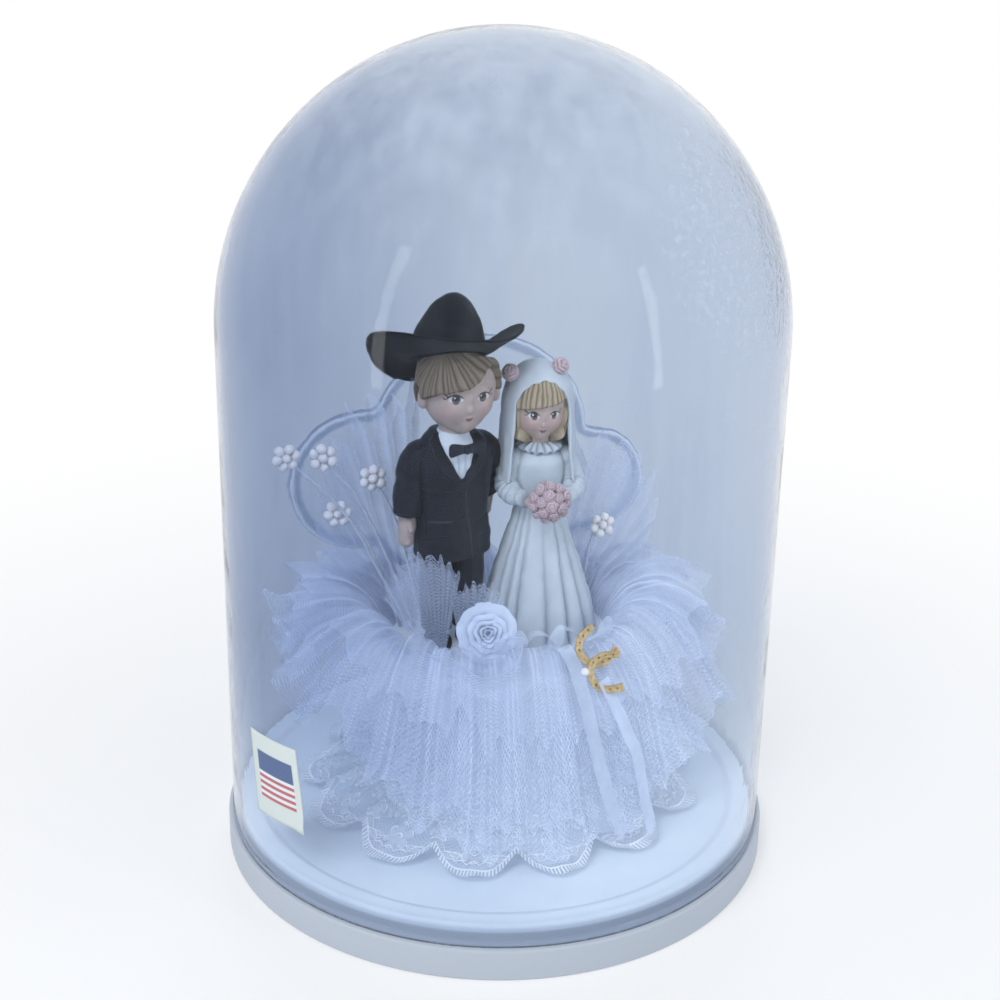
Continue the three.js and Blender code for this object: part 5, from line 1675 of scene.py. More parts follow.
@dataclass
class Trim:
    """What is tied to the front: the rose, the ribbon loops and leaves, the tails, and the gold charm."""

    finish: Finishes
    ribbon_width: float = 5.4

    @staticmethod
    def petal(
        radii: Pair, heights: Pair, turn: float, span: float, curl: float
    ) -> Surface:
        """One petal about +Z.

        It spreads over an angle, goes from the inner to the outer radius as it rises, droops at its sides by
        the square of the angle, and rolls outwards at its edge.

        Args:
            radii: at its foot and at its edge.
            heights: at its foot and at its edge.
            turn: the direction of its middle.
            span: half its angle.
            curl: how far the edge rolls out.

        Returns:
            The petal.
        """
        u, v = np.meshgrid(spread(27, -1, 1), spread(16))
        angle = turn + u * span
        roll = step(0.7, 1.0, v)
        wobble = 0.25 * np.sin(5 * u + 3 * turn) * v
        radius = radii[0] + (radii[1] - radii[0]) * v**1.3 + curl * roll + wobble
        rise = (heights[1] - heights[0]) * np.sin(v * math.pi / 2) * (1 - 0.35 * u * u)
        height = heights[0] + rise - curl * 0.7 * roll**2
        return Surface.grid(stacked(radius * np.cos(angle), radius * np.sin(angle), height))

    def rose(self) -> None:
        """The rose: rings of petals, tight in the middle and open outside."""
        petals = []
        rings = (
            (3, 0.5, 1.3, -2.0, 3.4, 1.25, 0.1, 0.0), (3, 1.2, 2.3, -2.2, 3.2, 1.2, 0.3, 0.6),
            (4, 1.8, 3.7, -2.4, 2.7, 1.0, 0.6, 0.2), (5, 2.4, 5.4, -2.6, 1.9, 0.85, 0.9, 0.5),
            (6, 3.0, 8.4, -2.7, 0.4, 0.8, 1.1, 0.1),
        )
        for count, r0, r1, z0, z1, span, curl, start in rings:
            for i in range(count):
                petals.append(self.petal((r0, r1), (z0, z1), start + i / count * TAU, span, curl))
        flower = Surface.joined(petals).moved(spun(-10, "Z") @ spun(66, "X"), rose_place())
        piece = flower.make("satin_rose", self.finish.chiffon, "satin", "fabric_rose", closed=False)

    def loops(self) -> None:
        """Two ribbon loops on the net, each an oval strip pinched at its foot, and pointed leaves by them."""
        for number, degrees in enumerate((-84.0, -70.0), 1):
            seat = on_net(degrees, 0.1)
            t, w = np.meshgrid(spread(73, -math.pi / 2, 1.5 * math.pi), spread(9, -0.5, 0.5))
            pinch = 0.45 + 0.55 * step(-1.0, -0.2, np.sin(t))
            x = 4.1 * np.cos(t) * (1 + 0.08 * np.sin(2 * t))
            z = 4.2 + 3.6 * np.sin(t)
            point = stacked(seat[0] + x, seat[1] + w * 3.4 * pinch + 0.5 * np.sin(t) - 0.2, seat[2] + z)
            strip, node = Surface.grid(point, np.stack([w, t], axis=-1)), f"ribbon_loop_{number}"
            strip.make(f"{node}_strip", self.finish.organza, "satin", node, closed=False)
        leaves = []
        plans = (
            (-92, 0.1, 11, -8, 5), (-77, 0.06, 12, 14, 5.5), (-63, 0.05, 10, 30, 5), (-52, 0.08, 9, 45, 5),
            (-99, 0.2, 8, -40, 5), (-125, 0.2, 8, -70, 6), (-45, 0.12, 8, 10, 5),
        )
        u, v = np.meshgrid(spread(13, -1, 1), spread(17))
        for degrees, share, tall, lean, wide in plans:
            width = wide * 0.5 * np.sin(math.pi * np.clip(v * 0.92 + 0.04, 0, 1)) ** 0.7
            y = -0.8 * np.sin(v * 2.2) + 0.7 * u * u * (1 - v) - 1.0
            leaf = Surface.grid(stacked(u * width, y, v * tall))
            leaves.append(leaf.moved(spun(lean, "Y"), on_net(degrees, share, (0, 0, -0.3))).own())
        Surface.joined(leaves).make("organza_leaves", self.finish.organza, "satin", closed=False)

    def tail(
        self,
        number: int,
        crests: Sequence[float],
        start: float,
        rest: Sequence[float],
        lace_angle: float,
        finish: Material,
    ) -> None:
        """A ribbon tail: down the net, over its edge, and along the lace to a slanting end.

        Args:
            number: 1 or 2.
            crests: its direction where it starts and where it leaves the net, in degrees.
            start: where on the net it begins, as a share.
            rest: where on the lace it lies, as shares.
            lace_angle: the direction of that place, in degrees.
            finish: its material.
        """
        a = np.radians(spread(9, *crests))
        up = np.stack([np.cos(a), np.sin(a), 1 + 0 * a], axis=1) / math.sqrt(2)
        on_net = net_ring(a, spread(9, start, 1.06)) + up * 2.2
        on_lace = lace_skirt(np.full(3, math.radians(lace_angle)), spread(3, *rest))
        on_lace[:, 2] = FLOOR + 1.3 + 34.7 * (1 - spread(3, *rest)) ** 1.6 + 3.9
        path = smooth_path(np.concatenate([on_net, on_lace]), 90)
        padded = np.concatenate([2 * path[:1] - path[10:0:-1], path, 2 * path[-1:] - path[-2:-12:-1]])
        path = np.stack([np.convolve(padded[:, k], np.full(21, 1 / 21), "valid") for k in range(3)], axis=1)
        length = run_length(path)
        end = math.radians(lace_angle)
        side, up = np.array([-math.sin(end), math.cos(end), 0.0]), up[-1]
        u, v = np.meshgrid(spread(9, -0.5, 0.5), spread(90))
        cut = (length[-1] - 3.5 * (u + 0.5)) / length[-1]
        along = v * cut * length[-1]
        point = np.stack([np.interp(along, length, path[:, k]) for k in range(3)], axis=-1)
        sway = 0.8 * np.sin(along / 11.0 + number) * v
        curl = 0.5 * (4 * u * u - 0.4) * (0.4 + 0.6 * np.sin(along / 7.0 + 2 * number))
        point = point + side * (u * self.ribbon_width + sway)[..., None] + up * (curl + 0.4)[..., None]
        uv = np.stack([u * self.ribbon_width, along], axis=-1)
        Surface.grid(point, uv).make(
            f"ribbon_tail_{number}_strip", finish, "satin", f"ribbon_tail_{number}", closed=False
        )

    def horseshoe(self, depth_from: float) -> Surface:
        """One horseshoe in the XY plane, open towards +Y.

        Its section, a flat bar with rounded edges and a groove along its face, runs round the shoe, and four
        square holes on each arm go down into the groove.

        Args:
            depth_from: the height of its back.

        Returns:
            The horseshoe.
        """
        legs = spread(26)[:-1]
        arc = spread(110, 0, -math.pi)
        right = np.stack([5.45 - 0.5 * (1 - legs) ** 2, 3.9 * (1 - legs)], axis=1)
        bend = np.stack([5.45 * np.cos(arc), 5.75 * np.sin(arc)], axis=1)
        left = right[::-1] * [-1, 1]
        path = np.concatenate([right, bend, left])
        along = unit(np.gradient(path, axis=0))
        out = np.stack([-along[:, 1], along[:, 0]], axis=1)
        place = spread(len(path), -1, 1)
        wide = 1.12 + 0.12 * bump(place, 1.0)
        half = [(-1.0, 0.1), (-0.96, 0.75), (-0.8, 0.95), (-0.55, 1.0), (-0.32, 0.98), (-0.2, 0.66)]
        mirrored = [(-across, up) for across, up in half[::-1]]
        section = [*half, (0.0, 0.6), *mirrored, (0.9, 0.0), (-0.9, 0.0), half[0]]
        rows, sunk = [], []
        ends = step(0.98, 0.93, np.abs(place))
        holes = np.zeros_like(place)
        for spot in (0.3, 0.48, 0.66, 0.84):
            holes = np.maximum(holes, step(0.022, 0.012, np.abs(np.abs(place) - spot)))
        for across, up in section:
            groove = 1.0 if abs(across) <= 0.2 and up > 0.5 else 0.0
            height = np.where(groove > 0, 1 - (1 - up) * 0.45 * ends - 0.5 * holes, up) * 0.9
            ring = path + out * (wide * across)[:, None]
            rows.append(stacked(ring[:, 0], ring[:, 1], depth_from + height))
            # The groove and, more, the holes are marked for painted shade.
            sunk.append(groove * (0.34 * ends + 0.66 * holes))
        points = np.stack(rows, axis=1)
        sunk_shade_masks = np.stack(sunk, axis=1)
        sunk_shade_masks = np.concatenate([sunk_shade_masks[:1], sunk_shade_masks, sunk_shade_masks[-1:]]).ravel()
        return capped(points, points[0].mean(axis=0), points[-1].mean(axis=0)).marked(sunk_shade_masks, 0 * sunk_shade_masks)

    def charm(self) -> None:
        """The two horseshoes, one across the other, and the pearl at their crossing."""
        turn, place = seat_matrix()
        for number, (degrees, shift, depth) in enumerate(((-40, (-2, 4, 0), 0.0), (-82, (2, -4, 0), 1.3)), 1):
            shoe = self.horseshoe(depth).moved(spun(degrees, "Z"), shift).own()
            shoe = shoe.moved(turn, place)
            shoe.make(f"gold_horseshoe_{number}", self.finish.gold, "gold_metal", f"horseshoe_{number}")
        bead = ball_form((-5.55, -4.0, 3.8), (1.3, 1.3, 1.3), 18, 28).moved(turn, place)
        bead.make("charm_bead", self.finish.pearl, "pearl", "charm_pearl")

    def sprays(self) -> None:
        """Five pearl sprays: six pearls about a smaller one, on a wrapped wire that bows to its foot."""
        places = (
            (-28, 7.6, -67.5, 5.6, 65.6, 0.2), (-26, 9.4, -55.6, 7.6, 63.8, 0.6),
            (-30.5, 10.4, -50.8, 10.4, 43.3, 0.1), (-23, 10.4, -39.2, 10.2, 54.4, 0.4),
            (31.4, 11.0, 38.5, 9.0, 30.2, 0.3),
        )
        for number, (fx, fy, x, y, z, turn) in enumerate(places, 1):
            foot, flower = np.array([fx, fy, STAGE + 0.6]), np.array([x, y, STAGE + z])
            middle = (foot + flower) / 2 + [0, 0, 9.0]
            path = smooth_path([foot, middle, flower], 40)
            stem = tube(path, 0.42 + 0.05 * np.cos(spread(40, 0, 60)), 10)
            stem.make(f"spray_stem_{number}", self.finish.wire, "pearl")
            beads = [ball_form(flower + [0, -0.6, 0], (1.5, 1.5, 1.5), 14, 22)]
            for i in range(6):
                angle = turn + i / 6 * TAU
                at = flower + np.array([3.05 * math.cos(angle), 0.25 * (-1) ** i, 3.05 * math.sin(angle)])
                beads.append(ball_form(at, (1.62, 1.62, 1.62), 14, 22))
                loop = smooth_path([flower, (flower + at) / 2 + [0, 0.4, 0], at], 6)
                beads.append(tube(loop, np.full(6, 0.22), 6))
            pearls = Surface.joined(beads)
            pearls.make(f"pearl_flower_{number}", self.finish.pearl, "pearl", f"pearl_spray_{number}")

    def build(self) -> None:
        """Builds the trim."""
        self.rose()
        self.loops()
        self.tail(1, (-64.0, -58.5), 0.60, (0.92, 0.99), -55.0, self.finish.chiffon)
        self.tail(2, (-76.0, -68.0), 0.30, (0.87, 0.95), -64.5, self.finish.organza)
        self.charm()
        self.sprays()


# Figures


def bloom(centre: Sequence[float], facing: Sequence[float], radius: float) -> Surface:
    """A small rose: a ball whose face is cut by a spiral groove about the way it faces.

    Args:
        centre: its middle.
        facing: the way it faces.
        radius: its size.

    Returns:
        The rose.
    """
    axis = unit(np.asarray(facing, float))
    side = unit(np.cross(axis, [0.0, 0.0, 1.0]))
    up = np.cross(side, axis)

    def relief(x: Array, y: Array, z: Array) -> Array:
        """Petal edges: a saw of the polar angle shifted by the turn about the axis."""
        d = np.stack([x, y, z], axis=-1)
        tilt = np.arccos(np.clip(d @ axis, -1, 1))
        turn = np.arctan2(d @ up, d @ side)
        saw = (tilt * 1.9 + turn / TAU + 0.12 * np.sin(5 * turn)) % 1.0
        return radius * 0.2 * (saw**2 - 0.5) * step(2.6, 1.8, tilt)

    surface = ball_form(centre, (radius, radius, radius), 30, 44, relief)
    # The depth below the ball is written as the crease share: painted shade in the petal grooves.
    far = np.linalg.norm(surface.points - np.asarray(centre, float), axis=1)
    return surface.marked(np.clip((1.0 - far / radius) * 9, 0, 1), surface.uv[:, 1])


@dataclass
class Figure:
    """What both figures share: their place on the stage, how a surface gets there, and the face's relief.

    A hump of the face is (height, distance to each side of the middle, distance below the head's centre,
    factor on the width, factor on the height, half size), and the jaw is (depth, its start, its end).
    """

    finish: Finishes
    x: float
    turn: float
    head: Triple
    head_half: Triple
    middle: float
    humps: tuple[tuple[float, ...], ...]
    jaw: Triple
    mouth_line: float

    def stand(self, surface: Surface) -> Surface:
        """Moves a surface from the figure's own frame onto the stage."""
        return surface.moved(spun(self.turn, "Z"), (self.x, 0.0, STAGE))

    def put(
        self,
        surface: Surface,
        name: str,
        finish: Material,
        slot: str,
        stands_for: str = "",
        crease: Optional[Relief] = None,
    ) -> None:
        """Makes a piece of the figure, with its painted crease shading written from its own frame.

        Args:
            surface: its surface in the figure's own frame.
            name: its name.
            finish: its material.
            slot: the record's material slot of that finish.
            stands_for: the CAD node that it replaces, if any.
            crease: gives how deep a point lies in a crease, for painted shading, or None for no creases.
        """
        self.stand(surface.own().crease_shaded(crease)).make(name, finish, slot, stands_for)

    def face_relief(self, x: Array, y: Array, z: Array) -> Array:
        """Cheeks, chin, nose, eye hollows and lips as round humps in front, and a drawn-in jaw."""
        px, pz = x * self.head_half[0] - self.middle, z * self.head_half[2]
        relief = -self.mouth_line * bump(pz + 7.9, 0.3) * bump(px, 1.6)
        for height, out, down, wide, tall, size in self.humps:
            relief = relief + height * bump(np.hypot((np.abs(px) - out) * wide, (pz + down) * tall), size)
        depth, start, end = self.jaw
        return step(0.0, -0.3, y) * relief - depth * step(start, end, pz) * np.abs(x)


@dataclass
class Groom(Figure):
    """The groom: black shawl-lapel suit, white pleated shirt, bow tie, fair combed hair and a felt hat."""

    x: float = -16.0
    turn: float = 3.0
    head: Triple = (1.6, -0.5, 87.3)
    head_half: Triple = (11.6, 12.0, 15.6)
    middle: float = 0.2
    humps: tuple[tuple[float, ...], ...] = (
        (0.7, 5.8, 5.6, 1, 1, 5.0), (1.0, 0, 12.0, 1, 1.2, 4.4), (1.15, 0, 4.6, 1.1, 0.8, 1.6),
        (0.5, 0, 1.5, 1.3, 0.5, 1.7), (-0.55, 4.4, 1.0, 1, 1, 3.2), (0.5, 0, 7.9, 0.75, 1, 1.3),
    )
    jaw: Triple = (0.9, -9.0, -14.0)
    mouth_line: float = 0.22
    flaps: tuple[Pair, ...] = ((-9.6, -2.9), (5.2, 10.8))
    hat_place: Triple = (-1.9, 0.0, 97.0)

    def opening(self, z: Array) -> Array:
        """Half the width of the jacket's V at a height."""
        return 6.6 * np.clip((z - 58.6) / 11.4, 0, 1.1) ** 0.85

    def lapel(self, x: Array, z: Array) -> Array:
        """1 on the shawl lapels: from the V's edge out to a curve that is widest at the chest."""
        stops = [(54.6, 0.0), (57, 1.9), (61, 3.4), (66, 3.6), (69, 2.7), (72, 1.6)]
        width = through(stops, z.ravel()).reshape(z.shape)
        out = np.abs(x - 0.6) - self.opening(z)
        return step(-0.25, 0.1, out) * step(width + 0.12, width - 0.3, out) * step(54.4, 55.0, z)

    def front_edge(self, z: Array) -> Array:
        """Where the closed front's edge runs at a height."""
        return 1.4 + (56 - z) * 0.11

    def jacket_relief(self, x: Array, y: Array, z: Array) -> Array:
        """Lapels, the front's edge, buttons, pocket flaps, the V for the shirt, and soft folds.

        Args:
            x: the points' places across.
            y: their places in depth.
            z: their heights.

        Returns:
            How far out each point moves.
        """
        front = step(-1.0, -3.0, y)
        inside = step(0.1, -0.3, np.abs(x - 0.6) - self.opening(z)) * step(58.8, 59.6, z)
        relief = 0.75 * self.lapel(x, z) - 2.4 * inside
        relief = relief + 0.38 * step(0.15, -0.2, x - self.front_edge(z)) * step(56.0, 55.2, z)
        for button in (53.6, 46.8):
            relief = relief + 0.55 * bump(np.hypot(x - 1.0, z - button), 1.15)
        for low, high in self.flaps:
            flap = step(low - 0.15, low + 0.2, x) * step(high + 0.15, high - 0.2, x)
            level = 44.6 + 0.06 * (x - low)
            flap = flap * step(level + 0.2, level - 0.15, z) * step(level - 5.9, level - 5.5, z)
            relief = relief + 0.42 * flap
        folds = 0.35 * waves(21, 6, 0.35 * x, 0.16 * z + 0 * x)
        low_folds = 0.3 * np.sin(0.9 * x + 0.08 * z) * step(44, 33, z)
        return front * relief + folds + low_folds + 0.45 * step(34.0, 31.8, z)

    def jacket_painted_highlights(self, x: Array, y: Array, z: Array) -> Array:
        """Lines along the lapels' rims, the front's edge and the flaps, in the black bisque's lighter crease
        colour: painted highlights on those edges.

        Args:
            x: the points' places across.
            y: their places in depth.
            z: their heights.

        Returns:
            How much of the lighter crease colour each point takes, 0 to 1.
        """
        front = step(-1.0, -3.0, y)
        lapel = self.lapel(x, z)
        rim = 4 * lapel * (1 - lapel)
        edge = bump(x - self.front_edge(z) - 0.2, 0.35) * step(56.0, 55.2, z)
        lines = rim + edge
        for low, high in self.flaps:
            level = 44.6 + 0.06 * (x - low)
            lines = lines + bump(z - level - 0.25, 0.4) * step(low - 0.3, low, x) * step(high + 0.3, high, x)
        return front * np.clip(lines, 0, 1) * 0.9

    def suit(self) -> None:
        """Shoes, trousers, jacket, sleeves, shirt and tie."""
        legs = []
        for side, name in ((-1, "right"), (1, "left")):
            shoe = ball_form((side * 5.2, -2.4, 0.3), (4.2, 6.8, 4.0), 26, 40)
            shoe.points[:, 2] = np.maximum(shoe.points[:, 2], 0.05)
            self.put(shoe, f"groom_shoe_{name}_form", self.finish.black, "bisque_black", f"groom_shoe_{name}")
            stops = [(4.7, side * 5.2, 0, 4.7, 5.6), (13, side * 5.2, 0, 5.1, 6.0),
                     (24, side * 5.1, 0, 5.4, 6.4), (31.2, side * 5.1, 0, 5.5, 6.4)]
            legs.append(oval_form(stops, 60, 64, self.trouser_relief))
        # Between the legs the black bisque takes its lighter crease colour: painted light on their inner
        # sides.
        trousers, between = Surface.joined(legs), lambda x, y, z: bump(x, 0.9) * 0.8
        self.put(trousers, "groom_trouser_legs", self.finish.black, "bisque_black", "groom_trousers", between)
        stops = [(31.5, 0, 0, 12.0, 9.1), (33, 0, 0, 12.3, 9.3), (43, 0, 0, 11.9, 9.0),
                 (51, 0, 0, 11.9, 8.9), (60, 0, 0, 12.8, 9.5), (65, 0, 0.2, 13.0, 8.9),
                 (68, 0, 0.5, 11.6, 7.8), (70.4, 0, 0.8, 9.3, 6.7), (72.2, 0, 1.0, 6.8, 5.8)]
        # Painted highlights along the lapels, the front's edge and the flaps.
        jacket, crease = oval_form(stops, 260, 300, self.jacket_relief), self.jacket_painted_highlights
        self.put(jacket, "groom_jacket_form", self.finish.black, "bisque_black", "groom_jacket", crease)
        self.sleeves()
        self.shirt()

    @staticmethod
    def trouser_relief(x: Array, y: Array, z: Array) -> Array:
        """Folds over the shoes, and a crease down the front of each leg."""
        folds = 0.3 * np.sin(z * 0.5 + x * 0.6) * step(14, 5, z)
        return folds + 0.35 * bump(np.abs(x) - 5.2, 0.6) * step(-2, -4, y)

    @staticmethod
    def sleeve_relief(x: Array, y: Array, z: Array) -> Array:
        """Slanting folds about the elbow, and a cuff's edge."""
        return 0.32 * np.sin(z * 1.1 + y * 0.5 + x * 0.4) * bump(z + 12, 6) + 0.3 * step(-21.6, -22.2, z)

    @staticmethod
    def finger_relief(x: Array, y: Array, z: Array) -> Array:
        """Grooves between the fingers, below the palm."""
        return -0.35 * bump(((y + 2.4) / 1.5) % 1.0 - 0.5, 0.3) * step(-27.5, -29.5, z)

    def sleeves(self) -> None:
        """The arms: each hangs from its shoulder with folds at the elbow, the left one swung back."""
        for side, name, swing in ((-1, "right", 0.0), (1, "left", 24.0)):
            turn, place = spun(-5.0 * side, "Y") @ spun(swing, "X"), (side * 12.6, 0.4, 68.6)
            stops = [(-23, 0, 0, 4.1, 4.5), (-22, 0, 0, 4.45, 4.8), (-12, 0, 0, 4.6, 5.1),
                     (-6, -0.3 * side, 0, 4.5, 5.1), (-2.4, -1.4 * side, 0, 3.9, 4.6),
                     (0.4, -3.4 * side, 0, 2.8, 3.6), (1.6, -5.0 * side, 0, 0.8, 1.6)]
            arm, node = oval_form(stops, 90, 64, self.sleeve_relief), f"groom_sleeve_{name}"
            self.put(arm.moved(turn, place), f"{node}_form", self.finish.black, "bisque_black", node)
            stops = [(-33.7, 0, -0.8, 1.3, 1.9), (-33.0, 0, -0.8, 2.0, 2.7), (-30, 0, -0.6, 2.5, 3.3),
                     (-27, 0, -0.5, 2.7, 3.4), (-23.3, 0, 0, 2.2, 2.6)]
            palm = oval_form(stops, 60, 72, self.finger_relief)
            route = [(0.3 * side, -2.0, -24.5), (-0.3 * side, -3.6, -27.0), (-0.2 * side, -3.5, -30.0)]
            radii = 1.15 * np.sqrt(np.clip(1 - spread(20, -0.2, 1.0) ** 4, 0.02, 1))
            thumb = tube(smooth_path(route, 20), radii, 20)
            hand, node = Surface.joined([palm, thumb]).moved(turn, place), f"groom_hand_{name}"
            self.put(hand, f"{node}_form", self.finish.skin, "bisque_skin", node)

    def shirt(self) -> None:
        """The pleated shirt front inside the V, its collar, and the bow tie."""
        stops = [(56, 0, 0, 11.0, 8.2), (60, 0, 0, 11.4, 8.6), (65, 0, 0, 10.9, 8.15), (68.4, 0, 0, 8.1, 6.6),
                 (71.0, 0, -0.2, 5.5, 5.4), (72.6, 0.2, -0.3, 5.0, 5.0)]
        pleat = lambda x: np.cos((x - 0.6) * 2.6)
        relief = lambda x, y, z: 0.16 * pleat(x) * step(-2, -4, y) * step(68.5, 66.5, z)
        # Painted shade in the valleys between the pleats.
        crease = lambda x, y, z: (0.5 - 0.5 * pleat(x)) ** 5 * 0.6 * step(68.5, 66.5, z)
        form = oval_form(stops, 110, 240, relief)
        self.put(form, "groom_shirt_front", self.finish.shirt, "bisque_white", "groom_shirt", crease)
        x = spread(61, -1, 1)[:, None]
        angle = spread(41, 0, TAU)[None, :]
        ends = np.sqrt(np.clip(1 - np.abs(x) ** 14, 0.0, 1))
        tall, deep = (1.0 + 1.55 * np.abs(x) ** 0.8) * ends, 1.15 * ends
        fold = 1 + 0.14 * np.cos(3 * angle) * (1 - np.abs(x))
        out = deep * np.sin(angle) * fold - 0.25 * np.abs(x)
        bow = stacked(5.9 * x + 0 * angle, out, tall * np.cos(angle) * fold)
        knot = ball_form((0, -0.5, 0), (1.35, 1.5, 1.5), 20, 30)
        tie = Surface.joined([Surface.grid(bow), knot]).moved(np.eye(3), (1.3, -10.4, 69.4))
        # Beside the knot the black bisque takes its lighter crease colour: painted light at the bow's pinch.
        knot_pinch_painted_light = lambda x, y, z: bump(np.abs(x - 1.3) - 1.6, 0.4) * 0.9
        self.put(tie, "groom_bow", self.finish.black, "bisque_black", "groom_bow_tie", knot_pinch_painted_light)

    def head_form(self) -> None:
        """The head with its ears and neck, and the hair over it."""
        hx, hy, hz = self.head
        parts = [ball_form(self.head, self.head_half, 170, 220, self.face_relief)]
        for side in (-1, 1):
            shell = lambda x, y, z, s=side: -0.8 * bump(np.hypot(y + 0.1, z), 0.6) * step(0.0, 0.6, x * s)
            parts.append(ball_form((hx + side * 11.5, hy - 0.7, hz - 3.4), (1.7, 2.5, 3.3), 26, 34, shell))
        neck = [(66.5, 0, 0, 4.6, 4.6), (70, 0.3, 0, 4.5, 4.5), (76, 1.0, -0.3, 5.4, 5.4)]
        parts.append(oval_form(neck, 20, 48))
        head = Surface.joined(parts).own()
        head.points[:] = self.under_hat(head.points, 9.6)
        self.stand(head.crease_shaded().about(self.head)).make(
            "groom_head_form", self.finish.groom_face, "bisque_skin", "groom_head"
        )
        whorl = unit(np.array([-0.52, -0.35, 0.78]))
        first = unit(np.cross(whorl, [0.0, 1.0, 0.0]))
        second = np.cross(whorl, first)
        line = [
            (-180, -9.5), (-130, -8.5), (-112, -5.5), (-100, 0.0), (-88, 0.6), (-76, -2.2), (-58, -0.6),
            (-31, 1.0), (-2, 2.5), (17, 4.4), (34, 6.6), (46, 7.0), (58, 4.0), (72, -1.2), (86, 0.4),
            (100, 0.0), (112, -5.5), (130, -8.5), (180, -9.5),
        ]

        def strands(x: Array, y: Array, z: Array) -> Array:
            """The turn about the whorl, bent a little, in strands."""
            d = np.stack([x, y, z], axis=-1)
            turn = np.arctan2(d @ second, d @ first)
            far = np.arccos(np.clip(d @ whorl, -1, 1))
            return turn + 0.35 * np.sin(far * 1.6) + 0.05 * np.sin(turn * 9 + far * 3)

        def relief(x: Array, y: Array, z: Array) -> Array:
            """Hair stands off the head above its line and goes into the head below it.

            Args:
                x, y, z: the direction from the head's centre.

            Returns:
                How far out each point moves.
            """
            azimuth = np.degrees(np.arctan2(x, -y))
            across = strands(x, y, z)
            edge = through(line, azimuth.ravel())[:, 0].reshape(x.shape) + 0.25 * np.cos(across * 34)
            above = step(-0.55, 0.45, z * self.head_half[2] - edge)
            groove = 0.6 * np.cos(across * 34) + 0.4 * np.cos(across * 13 + 1)
            far = np.arccos(np.clip(np.stack([x, y, z], axis=-1) @ whorl, -1, 1))
            thick = 1.7 + 0.4 * groove * step(0.1, 0.5, far) + 0.3 * step(0.4, 1.2, far) * step(0.4, -0.4, z)
            return above * thick - (1 - above) * 1.5

        hair = ball_form(self.head, self.head_half, 220, 330, relief)
        across = strands(*unit((hair.points - np.array(self.head)) / np.array(self.head_half)).T)
        # Painted shade in the grooves between the strands.
        crease = np.clip(0.5 - 0.6 * np.cos(across * 34), 0, 1) ** 2 * 0.75
        hair.points[:] = self.under_hat(hair.points, 10.6)
        self.stand(hair.own().marked(crease, across * 4)).make(
            "groom_combed_hair", self.finish.groom_hair, "bisque_hair", "groom_hair"
        )

    def hat_turn(self) -> Array:
        """The hat's tilt on the head."""
        return spun(10.0, "Z") @ spun(9.0, "Y") @ spun(-24.8, "X")

    def under_hat(self, points: Array, reach: float) -> Array:
        """The head's points, drawn in to a reach from the hat's axis where they stand above its brim."""
        under = (points - self.hat_place) @ self.hat_turn()
        far = np.hypot(under[:, 0], under[:, 1])
        tucked = step(-2.2, -1.2, under[:, 2]) * (1 - np.minimum(far, reach) / np.maximum(far, 1e-6))
        under[:, :2] *= 1 - tucked[:, None]
        return under @ self.hat_turn().T + self.hat_place

    def hat(self) -> None:
        """The felt hat: a domed crown leaning forward, a broad brim with curled sides, and a stitched line.

        The crown's radius falls with the power of the height. The brim runs from the crown to its rim, rises
        at the sides with a power of the sine of the turn, and turns under at its edge.
        """
        rise = spread(60)[:, None] ** 0.8
        turn = spread(121, 0, TAU)[None, :]
        radius = np.maximum(1 - rise**2.2, 0) ** 0.55 * (1 - 0.12 * rise)
        dent = 1 - 0.05 * bump(rise - 0.62, 0.3) * np.abs(np.cos(turn)) ** 3
        x = 11.9 * radius * np.cos(turn) * dent + 1.2 * rise**1.3
        y = 12.4 * radius * np.sin(turn) - 4.2 * rise**1.3
        fuzz = 0.1 * waves(5, 6, 5 * x, 5 * y, 9 * rise + 0 * turn)
        crown = stacked(x, y, 18.6 * rise + fuzz)
        skirt = stacked(11.9 * np.cos(turn), 12.4 * np.sin(turn), -1.0)
        middle = stacked(0 * turn, 0 * turn, -1.0)
        parts = [Surface.grid(np.concatenate([middle, skirt, crown]))]
        out = np.concatenate([spread(26, 0.0, 1.0), spread(26, 1.0, 0.0)])[:, None]
        half = 0.5 * np.sqrt(np.clip(1 - out**24, 0, 1))
        face = np.concatenate([np.full(26, 1.0), np.full(26, -1.0)])[:, None] * half
        sideways, forward = np.sin(turn), np.cos(turn)
        half_w, half_d = 10.0 * (1 - out) + 25 * out, 10.4 * (1 - out) + 23 * out
        curl = np.where(sideways < 0, 6.9, 10.2) * np.abs(sideways) ** 2.3
        dip = np.where(forward > 0, -1.1, 4.4)
        ragged = 0.12 * waves(6, 6, 14 * sideways, 14 * forward) * out
        height = curl * out**1.8 - dip * forward**2 * out - 0.5 + face + ragged
        brim = stacked(half_w * sideways * (1 + 0.004 * np.sin(37 * turn) * out), -half_d * forward, height)
        parts.append(Surface.grid(brim))
        shape = Surface.joined(parts).moved(self.hat_turn(), self.hat_place)
        self.stand(shape.own()).make("groom_felt_hat", self.finish.felt, "black_felt", "groom_hat")
        ring = stacked(12.05 * np.cos(turn[0]), 12.55 * np.sin(turn[0]), 0.55 + 0 * turn[0])
        seam = tube(ring, np.full(121, 0.22), 8).moved(self.hat_turn(), self.hat_place)
        self.put(seam, "hat_seam", self.finish.shirt, "black_felt")

    def build(self) -> None:
        """Builds the groom."""
        self.suit()
        self.head_form()
        self.hat()


